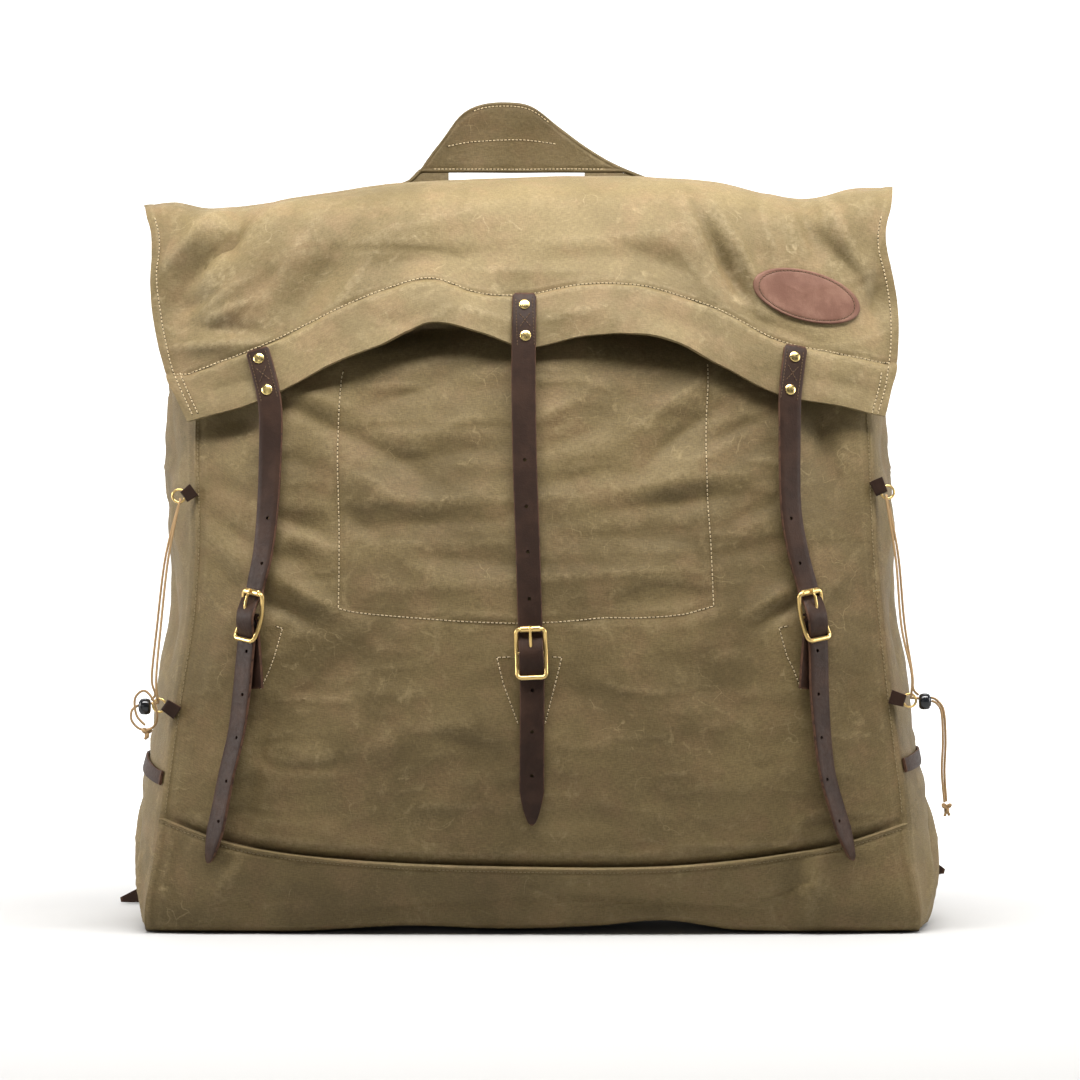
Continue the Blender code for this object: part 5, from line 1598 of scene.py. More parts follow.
    def back_grid(self) -> Array:
        """The back panel, from the floor to the mouth.

        Returns:
            Its grid of points.
        """
        u = np.linspace(1, -1, 110)[None]
        z = (0.6 + (BODY_TOP - 0.6) * np.linspace(0, 1, 100)[:, None]) * MM
        x = BODY.x_at(u, z) * REAR_SPREAD
        y = BODY.back_y(u, z) - (self.wrinkle(x + 0.5, z) + 0.9 * MM) * off_seams(u, 6)
        return np.stack([x, y, z + 0 * u], axis=2)

    def side_grid(self, side: str) -> Array:
        """A gusset between the front and back seams, fullest at half its depth.

        Args:
            side: "left" or "right".

        Returns:
            Its grid of points.
        """
        sign = -1 if side == "left" else 1
        low, turned_in = np.linspace(2.6, GUSSET_TOP, 130), np.linspace(GUSSET_TOP, GUSSET_TOP + 40, 14)
        heights = np.concatenate([low, turned_in[1:]])[:, None] * MM
        v = np.linspace(0, 1, 72)[None]
        z = np.minimum(heights, GUSSET_TOP * MM)
        over = np.clip((heights - GUSSET_TOP * MM) / self.mouth_depth, 0, 1)
        seam, full = BODY.at(f"seam_{side}", z), BODY.at(f"side_{side}", z)
        rear = seam * REAR_SPREAD
        corner = self.under_step * np.clip(1 - z / self.corner_height, 0, 1) ** 2
        front = BODY.at("seam_y", z) + 1.4 * MM + corner
        back = BODY.back_y(np.ones_like(z), z) - self.back_gap
        y = front + (back - front) * v
        full_share = np.sin(pi * v) ** 0.75
        relief = fold_relief(SIDE_FOLDS, y, z) * 1.1 + self.wrinkle(y + 0.2, z)
        x = seam + (rear - seam) * v + (full - (seam + rear) / 2) * full_share - sign * 0.4 * MM
        x = x - sign * relief * np.clip(np.minimum(v, 1 - v) * 7, 0, 1)
        rise = np.sin(pi * v) ** 1.2 * over
        x = x - sign * 12 * MM * rise * over
        z = z + 34 * MM * rise + 6 * MM * over
        grid = np.stack([x, y, z], axis=2)
        return grid[:, ::-1] if side == "left" else grid


@dataclass
class TopFlap:
    """The flap: sewn on the back, over the top with stiff side ears, down over the front."""

    columns: int = 210
    rows: int = 150
    crumple: Crumple = field(default_factory=lambda: Crumple(23))
    shell: Shell = None
    grid: Array = None
    edge: Curve = curve(FLAP_HEM, "edge")
    stitch: Curve = curve(FLAP_HEM, "stitch")
    stand: Curve = curve(FLAP_HEM, "stand")
    crest: Curve = curve(CREST, "z")
    left: Curve = curve(FLAP_SIDE, "left")
    right: Curve = curve(FLAP_SIDE, "right")

    def build(self) -> None:
        """Makes the flap and puts it on the frame."""
        lines = [through(self.line(u), self.rows + 1) for u in np.linspace(-1, 1, self.columns + 1)]
        self.grid = np.stack(lines, axis=1)[::-1] * MM
        self.relief()
        self.shell = cloth(self.grid, self.walls())
        piece = self.shell.make("flap_canvas", Finish.CANVAS, "flap")
        CanvasBody.area(self.shell)

    def x_at(self, share: float, z: float) -> float:
        """Across the flap at a height, from its left edge (0) to its right one (1)."""
        left, right = float(self.left(z)), float(self.right(z))
        return left + (right - left) * share

    def line(self, u: float) -> list:
        """The flap's line from its back hem over the top to its lower edge, at one share of its width.

        Args:
            u: The share, from -1 to 1.

        Returns:
            Its points in millimetres.
        """
        share = (u + 1) / 2
        crest = float(self.crest(self.x_at(share, 590)))
        edge_x = self.x_at(share, float(self.edge(self.x_at(share, 440))))
        edge_z = float(self.edge(edge_x))
        stitch_x = self.x_at(share, float(self.stitch(self.x_at(share, 480))))
        stitch_z = float(self.stitch(stitch_x))
        stand = float(self.stand(edge_x))
        back_x = FLAP_BACK_HALF * u
        rear = (float(BODY.back_y(u, FLAP_BACK_HEM_Z * MM)) + 2 * MM) / MM + FLAP_BACK_STAND
        line = [(back_x, rear, FLAP_BACK_HEM_Z), (back_x, rear - 1, FLAP_BACK_TOP_Z)]
        for turn in FLAP_TURN:
            z = crest - turn.drop
            line.append((back_x + (self.x_at(share, z) - back_x) * min(1.0, (78 - turn.y) / 70), turn.y, z))
        mouth_x = self.x_at(share, MOUTH_Z)
        mouth_y = self.front(mouth_x, MOUTH_Z) - MOUTH_STAND
        for forward, down in FLAP_SHOULDER:
            z = crest + (MOUTH_Z - crest) * down
            line.append((self.x_at(share, z), mouth_y * forward, z))
        stitch_y = self.front(stitch_x, stitch_z) - BAND_STAND - stand * 0.45
        edge_y = self.front(edge_x, edge_z) - BAND_STAND - stand
        brow_z = (MOUTH_Z + stitch_z) / 2
        brow_x = self.x_at(share, brow_z)
        line.append((brow_x, self.front(brow_x, brow_z) - BROW_STAND, brow_z))
        middle = ((stitch_x + edge_x) / 2, (stitch_y + edge_y) / 2 - 0.8, (stitch_z + edge_z) / 2)
        return line + [(stitch_x, stitch_y, stitch_z), middle, (edge_x, edge_y, edge_z)]

    @staticmethod
    def front(x: float, z: float) -> float:
        """The front panel under the flap, without its folds, in millimetres."""
        return float(BODY.front_y(np.array(x * MM), np.array(z * MM), ())) / MM

    def below_stitches(self) -> Array:
        """How far each point in front lies under the stitch line, in millimetres."""
        x, y, z = np.moveaxis(self.grid, 2, 0)
        return (self.stitch(x / MM) - z / MM) * (y < 0)

    def relief(self) -> None:
        """Folds, wrinkles, the folded band and the hems, on the grid's own normals."""
        x, y, z = np.moveaxis(self.grid, 2, 0)
        normals = grid_normals(self.grid)
        on_front = np.clip(-y / (40 * MM), 0, 1)
        depth = fold_relief(FLAP_FOLDS, x, z) * on_front
        relief, down = self.crumple, z - y
        soft = relief(x, down, 52 * MM, 34 * MM) * 1.3 + relief(x, down, 20 * MM, 13 * MM) * 0.5
        lines = relief.creases(x + 0.2, down, 80 * MM, 36 * MM) * relief(x, down, 60 * MM, 50 * MM)
        depth = depth + (soft + lines * 1.5) * MM * np.clip(0.4 + on_front, 0, 1)
        below = self.below_stitches()
        groove = bell(below, 1.7) * 1.1
        band = np.clip(below / 2.5, 0, 1) * 1.1 * (y < 0)
        far = reach_along(self.grid, 1)
        side = np.minimum(far, far[:, -1:] - far) / MM
        hem = np.clip((9.5 - side) / 2.0, 0, 1) * 0.9 - bell(side - 7.5, 1.4) * 0.8
        edge_wave = np.sin(x / (19 * MM)) * 0.6 + relief(x, z * 0, 22 * MM, 1.0) * 1.2
        low = np.clip(below / 40, 0, 1) ** 2
        push = depth + (groove - band - hem + edge_wave * low) * MM
        self.grid = self.grid - normals * push[..., None]

    def walls(self) -> Array:
        """The thickness, doubled at the band and the hems."""
        return CANVAS + np.clip(self.below_stitches() / 3, 0, 1) * 1.1 * MM


@dataclass
class HaulHandle:
    """The haul handle: a wide doubled canvas band behind the flap, on two sewn legs."""

    wall: float = 4.4 * MM
    under: float = 618
    foot: float = 530.0
    grip: tuple = (-71.0, 44.0)
    lean: float = 9.0
    ends: tuple = (-121.0, 106.0)
    crown: float = 677.0
    top: Curve = curve(HANDLE_TOP, "z")
    shell: Shell = None

    def build(self) -> None:
        """Makes the band and puts it on the frame."""
        start, end = self.ends
        arch = self.panel(start, end, self.lower, lambda x: float(self.top(x)), 120, 36)
        left = self.panel(start, self.grip[0], lambda x: self.foot, self.lower, 26, 26)
        right = self.panel(self.grip[1], end, lambda x: self.foot, self.lower, 30, 26)
        self.shell = arch + left + right
        # The handle takes the darkest canvas copy, whose darkness is painted shade.
        piece = self.shell.make("haul_handle_canvas", Finish.HANDLE_WAX, "haul_handle")
        area = sum(CanvasBody.area(part) for part in (arch, left, right))

    def lower(self, x: float) -> float:
        """The band's lower edge."""
        return min(self.under, float(self.top(x)) - 4)

    def panel(
        self, start: float, end: float, low: Callable, high: Callable, columns: int, rows: int
    ) -> Shell:
        """One part of the band between two edges.

        Args:
            start: Its left end.
            end: Its right end.
            low: Its lower edge as a function of x.
            high: Its upper edge as a function of x.
            columns: How many columns it has.
            rows: How many rows it has.

        Returns:
            The shell.
        """
        x = np.linspace(start, end, columns)[None] + np.zeros((rows, 1))
        lows, highs = np.array([low(v) for v in x[0]]), np.array([high(v) for v in x[0]])
        t = np.linspace(0, 1, rows)[:, None]
        z = lows + (highs - lows) * t
        rise = np.clip((z - self.foot) / (self.crown - self.foot), 0, 1)
        y = float(BODY.at("back_y", FLAP_BACK_HEM_Z * MM)) / MM + 2.5 + self.lean * np.sin(pi * rise * 0.9)
        gap = np.minimum(z - lows, highs - z)
        roll = np.clip(1 - gap / 2.5, 0, 1) ** 2 * 1.4
        groove = bell(gap - 3.6, 1.3) * 0.6
        waves = np.sin(x / 17 + z / 29) * 0.8 + np.sin(x / 9.1 - z / 13) * 0.35
        return cloth(np.stack([x, y + roll + groove + waves, z], axis=2) * MM, self.wall)


# Stitches


@dataclass
class Sewing:
    """Rows of stitches, each stitch a short bent thread that dips into the cloth at both ends."""

    name: str
    finish: Finish = Finish.THREAD
    pitch: float = STITCH_PITCH
    thread: float = 0.50 * MM
    share: float = 0.66
    shells: list = field(default_factory=list)
    # Dark discs at the stitch ends: painted shade of the needle holes.
    holes: list = field(default_factory=list)
    pricked: bool = True

    def row(self, line: Points, skin: Skin, facing: int = -1, lift: float = 0.0) -> None:
        """Sews along a line seen from the front or the back.

        Args:
            line: The x and z of the line, in millimetres.
            skin: What is sewn.
            facing: -1 for the front, 1 for the back.
            lift: How far the thread stands above the cloth.
        """
        flat = np.array(line, float) * MM
        count = max(3, round(run_length(flat) / self.pitch) + 1)
        places = through(flat, count) if len(line) > 2 else np.linspace(flat[0], flat[-1], count)
        hits = [skin.hit(x, z, facing) for x, z in places]
        spans = [(a[0], b[0], a[1]) for a, b in zip(hits, hits[1:]) if a and b]
        self.sew(np.array(spans, float), facing, lift)

    def sew(self, spans: Array, facing: int, lift: float) -> None:
        """Adds a stitch in each span.

        Args:
            spans: Each span's two ends and the cloth's normal there.
            facing: -1 for the front, 1 for the back.
            lift: How far the thread stands above the cloth.
        """
        for start, end, normal in spans:
            if np.linalg.norm(end - start) > 2.2 * self.pitch:
                continue
            normal = unit(normal) * (1 if normal[1] * facing > 0 else -1)
            way = end - start
            t = 0.5 + self.share * np.array([-1 / 2, -1 / 3.2, 0, 1 / 3.2, 1 / 2])
            high = np.array([-0.5, 0.35, 0.62, 0.35, -0.5]) * self.thread + lift
            path = start + way * t[:, None] + normal * high[:, None]
            self.shells.append(wire(path, self.thread * np.array([0.7, 1, 1, 1, 0.7]), 6))
            # A thin near-black disc on the cloth at each stitch's start: painted shade of the needle hole, not
            # a cut hole.
            hole_shade_disc = [(0.55 * MM, -0.3 * MM), (0.55 * MM, 0.02 * MM), (0.3 * MM, 0.05 * MM)]
            self.holes.append(turned(hole_shade_disc, tuple(start), tuple(normal), 7))

    def finish_rows(self, slot: str = "cord") -> None:
        """Joins the stitches into one piece and, where wanted, the dark discs of painted needle-hole shade
        into another.
        """
        joined(self.shells).make(self.name, self.finish, sharp=80, slot=slot)
        if self.pricked:
            joined(self.holes).make(f"{self.name}_holes", Finish.HOLE, sharp=80, slot=slot)


# Leather and brass


def rounded_frame(half_w: float, half_h: float, corner: float, between: int = 0) -> list:
    """A rectangle with round corners, in its own plane.

    Args:
        half_w: Half its width.
        half_h: Half its height.
        corner: Its corners' radius.
        between: How many points stand on each straight side.

    Returns:
        Its points.
    """
    line = []
    for cx, cz, start in ((-1, 1, 180), (1, 1, 90), (1, -1, 0), (-1, -1, -90)):
        for a in np.radians(start - np.linspace(0, 90, 10)):
            line.append((cx * (half_w - corner) + corner * cos(a), cz * (half_h - corner) + corner * sin(a)))
        x, z = line[-1]
        for t in np.linspace(-1, 1, between + 2)[1:-1]:
            line.append((-x * t, z) if cx * cz < 0 else (x, -z * t))
    return line


@dataclass
class ClosingStrap:
    """A closing strap with its buckle tab, roller buckle, prong and rivets."""

    plan: ClosingPlan
    cloth_skin: Skin
    stitches: Sewing
    width: float = 25.6 * MM
    height: float = 40.5 * MM
    frame_wire: float = 1.6 * MM
    roller: float = 2.4 * MM
    loop: float = 3.1 * MM
    prong: float = 1.05 * MM
    bow: float = 4.2 * MM
    hump: float = 7 * MM
    hump_half: float = 16 * MM
    held: float = 19 * MM
    bar_gap: float = 4.2 * MM
    bar_radius: float = 1.15 * MM
    low_bar: float = 1.8 * MM
    corner: float = 3.4 * MM
    tip: float = 25 * MM
    tab_half: float = 8.2 * MM
    tab_wall: float = 3.0 * MM
    step: float = 2.5 * MM
    punched: float = 1.45 * MM
    tree: BVHTree = None
    turn: float = 0.0
    bar_y: float = 0.0

    def build(self) -> None:
        """Makes the tab, the strap over it, and the brass on both."""
        side = self.plan.side
        self.turn = float(self.turn_at(self.plan.buckle.z * MM))
        stands = [self.stand(x * MM, 0, self.cloth_skin) for x in (-13, -7, 0, 7, 13)]
        self.bar_y = -max(stands) / cos(self.turn) - self.bar_gap
        tab = self.tab()
        tab.make(f"tab_leather_{side}", Finish.STRAP, f"buckle_tab_{side}")
        strap = self.strap(Skin(*self.cloth_skin.trees, tab.skin()))
        self.tree = strap.skin()
        piece = strap.make(f"strap_leather_{side}", Finish.STRAP, f"strap_{side}")
        self.punch(piece)
        self.buckle()
        self.rivets()
        self.sew_top()

    def turn_at(self, z: Union[float, Array]) -> Array:
        """How far the strap turns to the left at a height, in radians."""
        heights, turns = zip(*self.plan.turns)
        return np.radians(np.interp(np.asarray(z) / MM, heights, turns))

    def place(self, x: float, z: float, forward: float = 0.0) -> Array:
        """A point in the buckle's own frame, which turns with the strap, in the world.

        Args:
            x: Across the buckle.
            z: Up it.
            forward: In front of its middle bar.

        Returns:
            The point.
        """
        tilt, turn = radians(self.plan.tilt), self.turn
        across = x * cos(turn) - forward * sin(turn)
        right = self.plan.buckle.x * MM + across * cos(tilt) + z * sin(tilt)
        up = self.plan.buckle.z * MM + z * cos(tilt) - across * sin(tilt)
        return np.array([right, self.bar_y - x * sin(turn) - forward * cos(turn), up])

    def stand(self, x: float, z: float, skin: Skin) -> float:
        """How far forward in the buckle's frame a skin reaches at a place of it."""
        at = self.place(x, z)
        return (at[1] - skin.depth(at[0], at[2])) * cos(self.turn)

    def laid(
        self, centres: Array, halves: Array, skin: Skin, gap: float, rounds: int, hump: float = 0.0
    ) -> tuple:
        """The two inner edges of a strip pulled tight over what lies behind it, and turned.

        Args:
            centres: The strip's middle line as x and z.
            halves: Its half widths.
            skin: What it lies on.
            gap: What stays free under it.
            rounds: How often its bends are softened.
            hump: How far it arches out over the middle bar.

        Returns:
            The left and the right edge.
        """
        along = unit(np.gradient(centres, axis=0))
        out = np.stack([-along[:, 1], along[:, 0]], axis=1)
        turn = self.turn_at(centres[:, 1])
        reach = reach_along(centres)
        head = np.array([self.plan.buckle.x, self.plan.buckle.z]) * MM
        held = reach[np.argmin(np.linalg.norm(centres - head, axis=1))]
        cuts = [0, *np.searchsorted(reach, (held - self.held, held + self.held)), len(reach)]
        shares = np.array((-1.0, -0.7, -0.35, 0.0, 0.35, 0.7, 1.0))
        limits = []
        for centre, way, half, angle in zip(centres, out, halves, turn):
            spots = [(centre + way * half * cos(angle) * s, half * sin(angle) * s) for s in shares]
            limits.append(min(skin.depth(*spot) + back for spot, back in spots))
        y = np.array(limits) - gap
        for low, high in zip(cuts, cuts[1:]):
            if high - low > 2:
                part = slice(max(low - 1, 0), high)
                y[part] = taut(reach[part], y[part])
        y = softened(y, rounds)
        arch = np.clip(1 - ((reach - held) / self.hump_half) ** 2, 0, 1) ** 0.8 * hump * np.abs(np.sin(turn))
        middle = centres - out * (arch * np.sin(turn))[:, None]
        y = y - arch * np.cos(turn)
        offset = out * (halves * np.cos(turn))[:, None]
        lift = halves * np.sin(turn)
        edges = []
        for sign in (-1, 1):
            side = middle + offset * sign
            edges.append(np.stack([side[:, 0], y - lift * sign, side[:, 1]], axis=1))
        return edges[0], edges[1]

    def strap(self, skin: Skin) -> Shell:
        """The strap from its riveted top down to its rounded tip.

        Args:
            skin: What it lies on.

        Returns:
            The shell.
        """
        flat = np.array(self.plan.route, float) * MM
        centres = through(flat, round(run_length(flat) / self.step) + 1)
        away = np.linalg.norm(centres - centres[-1], axis=1)
        halves = STRAP_WIDTH / 2 * (0.10 + 0.90 * np.clip(away / self.tip, 0, 1) ** 0.55)
        top = np.linalg.norm(centres - centres[0], axis=1)
        halves = halves - 1.6 * MM * np.clip(1 - top / (2.6 * MM), 0, 1) ** 2
        left, right = self.laid(centres, halves, skin, 0.5 * MM, 4, self.hump)
        return leather_strip(left, right, STRAP_WALL)

    def tab(self) -> Shell:
        """The doubled leather that holds the buckle: sewn at its foot, looped round the bar.

        Returns:
            The shell.
        """
        foot = np.array([self.plan.tab_foot.x, self.plan.tab_foot.z]) * MM
        head = self.place(0, 0)[[0, 2]]
        t = np.linspace(1, 0, 24)[:, None]
        centres = foot + (head - foot) * t
        halves = np.interp(t[:, 0], (0, 0.3, 0.6, 1), (6.2, 7.2, 7.6, 8.2)) * MM
        left, right = self.laid(centres, halves, self.cloth_skin, 0.4 * MM, 2)
        strip = leather_strip(left, right, self.tab_wall)
        start, end = self.place(-self.tab_half, 0), self.place(self.tab_half, 0)
        length = float(np.linalg.norm(end - start))
        return strip + turned([(self.loop, 0), (self.loop, length)], start, end - start, 24)

    def punch(self, strap: Piece) -> None:
        """Cuts the holes through the strap.

        Args:
            strap: The strap's object.
        """
        flat = np.array(self.plan.route, float) * MM
        line = through(flat, 400)
        pins = []
        for z in self.plan.holes:
            k = int(np.argmin(np.abs(line[:, 1] - z * MM)))
            x, height = line[k]
            point, normal = Skin(self.tree).hit(x, height)
            pins.append(turned([(self.punched, -8 * MM), (self.punched, 4 * MM)], point, normal, 14))
        shell = joined(pins)
        mesh = bpy.data.meshes.new(f"punch_{self.plan.side}")
        mesh.from_pydata(shell.points.tolist(), [], shell.quads.tolist() + shell.caps)
        punch = in_scene(mesh.name, mesh)
        cut = strap.modifiers.new("holes", "BOOLEAN")
        cut.operation, cut.solver, cut.object = "DIFFERENCE", "EXACT", punch
        settled = bpy.data.meshes.new_from_object(strap.evaluated_get(bpy.context.evaluated_depsgraph_get()))
        strap.modifiers.clear()
        strap.data = settled
        settled.set_sharp_from_angle(angle=radians(42))
        bpy.data.objects.remove(punch, do_unlink=True)

    def buckle(self) -> None:
        """The brass frame, its middle bar, its roller and its prong."""
        side = self.plan.side
        skin = Skin(self.tree)
        half_w, half_h = self.width / 2 - self.frame_wire, self.height / 2 - self.frame_wire
        rise = {}
        for name, z, radius in (("top", half_h, self.roller), ("low", -half_h, self.frame_wire)):
            probes = [(dx * MM, z + dz * MM) for dx in (-8, -4, 0, 4, 8) for dz in (-2.4, 0, 2.4)]
            rise[name] = max(self.stand(*probe, skin) for probe in probes) + 0.2 * MM + radius
        mean, lean = (rise["top"] + rise["low"]) / 2, (rise["top"] - rise["low"]) / 2
        dip = min(mean, self.bow)
        path = [
            self.place(x, z, mean + lean * z / half_h - dip * (1 - (z / half_h) ** 2))
            for x, z in rounded_frame(half_w, half_h, self.corner, 9)
        ]
        shell = wire(path, self.frame_wire, 16, closed=True) + self.bar(0, mean - dip, self.bar_radius, half_w)
        shell = shell + self.bar(-half_h, rise["low"], self.low_bar, half_w - 2.8 * MM)
        shell.make(f"buckle_brass_{side}", Finish.BRASS, f"buckle_{side}")
        roller = self.bar(half_h, rise["top"], self.roller, half_w - 3.2 * MM, True)
        roller.make(f"roller_brass_{side}", Finish.BRASS, f"roller_{side}")
        rest = rise["top"] + self.roller + self.prong + 0.2 * MM
        over = self.stand(0, 8 * MM, skin) + 1.3 * MM
        high = max(rest - 0.3 * MM, over)
        line = [
            self.place(0, z, forward)
            for z, forward in (
                (1.2 * MM, 2.6 * MM), (4.4 * MM, over - 1.5 * MM), (8.0 * MM, over),
                (half_h - 4.2 * MM, high), (half_h - 1.0 * MM, rest), (half_h + 2.4 * MM, rest - 0.4 * MM),
            )
        ]
        shell = wire(through(line, 30), np.linspace(1.25, 0.85, 30) * self.prong, 12)
        shell.make(f"prong_brass_{side}", Finish.BRASS, f"prong_{side}")

    def bar(self, z: float, forward: float, radius: float, half: float, rolled: bool = False) -> Shell:
        """A straight bar or roller across the buckle.

        Args:
            z: Up the buckle.
            forward: In front of its middle bar.
            radius: Its radius.
            half: Half its length.
            rolled: Whether its ends are rounded.

        Returns:
            The shell.
        """
        start, end = self.place(-half, z, forward), self.place(half, z, forward)
        length = float(np.linalg.norm(end - start))
        profile = [(radius, 0), (radius, length)]
        if rolled:
            soft = 0.5 * MM
            profile = [(radius - soft, 0), (radius, soft), (radius, length - soft), (radius - soft, length)]
        return turned(profile, start, end - start, 20)

    def rivets(self) -> None:
        """Domed brass rivet heads at the strap's top."""
        for number, (x, z) in enumerate(self.plan.rivets, 1):
            head = rivet_head(*Skin(self.tree).hit(x * MM, z * MM))
            name = f"{self.plan.side}_{number}"
            head.make(f"rivet_brass_{name}", Finish.RIVET, f"rivet_{name}")

    def sew_top(self) -> None:
        """Two rows of stitches by the rivets, and a cross between them."""
        (xa, za), (xb, zb) = self.plan.rivets
        way = unit(np.array([xb - xa, zb - za], float))
        out = np.array([-way[1], way[0]])
        top, low = np.array([xa, za]) - way * 5, np.array([xb, zb]) + way * 8
        skin = Skin(self.tree)
        for sign in (-1, 1):
            self.stitches.row([top + out * sign * 6.6, low + out * sign * 6.6], skin)
        upper, lower = np.array([xa, za]) + way * 7.2, np.array([xb, zb]) - way * 7.2
        for sign in (-1, 1):
            self.stitches.row([upper + out * sign * 4.2, lower - out * sign * 4.2], skin)


def rivet_head(point: Vector, normal: Vector, radius: float = 4.35 * MM, facing: int = -1) -> Shell:
    """A domed rivet head on a surface.

    Args:
        point: Where it sits.
        normal: The surface's normal.
        radius: Its radius.
        facing: -1 where it looks forward, 1 where it looks back.

    Returns:
        The shell.
    """
    normal = normal if normal.y * facing > 0 else -normal
    angles = np.linspace(0, pi / 2, 8)
    dome = [(radius * cos(a) ** 0.85 if a < pi / 2 else 0.0, (0.35 + 1.25 * sin(a)) * MM) for a in angles]
    return turned([(radius * 0.98, -0.2 * MM), *dome], tuple(point + normal * 0.15 * MM), tuple(normal), 28)


@dataclass
class FlapPatch:
    """The bare oval leather patch with its sewn rim."""

    flap_skin: Skin
    centre: tuple = (217.0, 500.0)
    long: float = 44.0
    short: float = 20.0
    tilt: float = radians(-14.5)
    wall: float = 2.2 * MM

    def build(self) -> None:
        """Makes the patch and sews it on."""
        shares = [1.0, 1.0, 0.985, 0.95, 0.925, 0.89, 0.86, 0.82, 0.7, 0.5, 0.25, 0.05]
        rises = [0.0, 0.7, 0.92, 1.0, 0.93, 0.80, 0.93, 1.0, 1.0, 1.0, 1.0, 1.0]
        count = 96
        rings = []
        for share, rise in zip(shares, rises):
            ring = []
            for k in range(count):
                x, z = self.spot(share, 2 * pi * k / count)
                ring.append((x, self.flap_skin.depth(x, z) - 0.3 * MM - rise * self.wall, z))
            rings.append(ring)
        shell = loft(np.array(rings))
        shell.worn[: 2 * count] = 1.0
        shell.make("patch_leather", Finish.PATCH, "flap_patch", sharp=60)
        rim = Sewing("patch_stitches", Finish.DARK_THREAD, 2.9 * MM, 0.34 * MM)
        line = [np.array(self.spot(0.89, 2 * pi * k / 60)) / MM for k in range(61)]
        rim.row(line, Skin(shell.skin()))
        rim.finish_rows("strap_leather")

    def spot(self, share: float, angle: float) -> tuple:
        """A point of the oval at a share of its size, in metres."""
        lx, lz = self.long * share * cos(angle), self.short * share * sin(angle)
        return (
            (self.centre[0] + lx * cos(self.tilt) - lz * sin(self.tilt)) * MM,
            (self.centre[1] + lx * sin(self.tilt) + lz * cos(self.tilt)) * MM,
        )


TAB_SECTION = (
    (-1, -0.6), (-0.93, -1), (-0.4, -1), (0.4, -1), (0.93, -1), (1, -0.6), (1, -0.12), (0.9, 0), (1, 0.12),
    (1, 0.6), (0.93, 1), (0, 1), (-0.93, 1), (-1, 0.6), (-1, 0.12), (-0.9, 0), (-1, -0.12),
)


@dataclass
class SideHardware:
    """Brass rings on leather tabs at the front seams, and the leather bands across the gussets."""

    sides: dict
    thickness: float = 4.2
    band_half: float = 5.5

    def build(self) -> None:
        """Makes the rings, the tabs and the bands."""
        for plan in RINGS:
            self.ring(plan)
            self.tab(plan)
        for side, heights in BAND_HEIGHTS.items():
            self.band(side, *heights)

    @staticmethod
    def ring(plan: RingPlan) -> None:
        """A wire ring.

        Args:
            plan: The ring's place.
        """
        t = 2 * pi * np.arange(48) / 48
        r = RING_RADIUS - RING_WIRE
        path = np.stack([plan.x + r * np.cos(t), plan.y + 0 * t, plan.z + r * np.sin(t)], axis=1) * MM
        shell = wire(path, RING_WIRE * MM, 12, closed=True)
        shell.make(f"ring_brass_{plan.name}", Finish.BRASS, f"ring_{plan.name}")

    def tab(self, plan: RingPlan) -> None:
        """A folded leather tab round a ring's inner side.

        Args:
            plan: The ring's place.
        """
        sign = -1 if plan.root_x < 0 else 1
        inner = plan.x - sign * (RING_RADIUS - RING_WIRE)
        start = np.array([plan.root_x, plan.root_z])
        way = unit(np.array([inner - plan.root_x, plan.z - plan.root_z], float))
        length = hypot(inner - plan.root_x, plan.z - plan.root_z) + 1.6
        out = np.array([-way[1], way[0]])
        rounded = length - 2 + 2 * np.sin(np.linspace(0, pi / 2, 8)[1:])
        t = np.concatenate([np.linspace(0, length - 2, 14), rounded])
        halves = np.interp(t, (0, length), (5.6, 4.8))
        thick = self.thickness / 2 * np.sqrt(np.clip(1 - np.clip((t - length + 2) / 2, 0, 1) ** 2, 0.02, 1))
        sections = []
        for s, half, deep in zip(t, halves, thick):
            centre = start + way * s
            places = [centre + out * a * half for a, _ in TAB_SECTION]
            ring = [(x, plan.y + d * deep, z) for (x, z), (_, d) in zip(places, TAB_SECTION)]
            sections.append(ring[:: -sign])
        cut = np.array([float(abs(a) > 0.95) for a, _ in TAB_SECTION])
        shell = loft(np.array(sections) * MM, worn=cut[:: -sign])
        shell.make(f"ring_leather_{plan.name}", Finish.STRAP, f"ring_tab_{plan.name}")

    def band(self, side: str, front_z: float, full_z: float, rear_z: float) -> None:
        """A leather band laid across a gusset from seam to seam.

        Args:
            side: "left" or "right".
            front_z: Its height at the front seam, in millimetres.
            full_z: Its height at half the depth.
            rear_z: Its height at the back seam.
        """
        sign = -1 if side == "left" else 1
        skin = Skin(self.sides[side].skin())
        front = float(BODY.at("seam_y", front_z * MM)) + 3 * MM
        rear = float(BODY.back_y(1.0, rear_z * MM)) - 6 * MM
        edges = []
        for half in (-self.band_half, self.band_half):
            line = []
            for v in np.linspace(0, 1, 60):
                y = front + (rear - front) * v
                z = (front_z + (full_z - front_z) * sin(pi * v) + (rear_z - front_z) * v + half) * MM
                hit = skin.reach((sign, y, z), (-sign, 0, 0))
                line.append((hit[0].x + sign * 0.5 * MM, y, z))
            line = np.array(line)
            line[:, 0] = softened(line[:, 0] + sign * 0.3 * MM, 2)
            edges.append(line)
        shell = leather_strip(edges[0], edges[1], 2.2 * MM, (sign, 0, 0))
        shell.make(f"side_band_leather_{side}", Finish.STRAP, f"side_band_{side}")


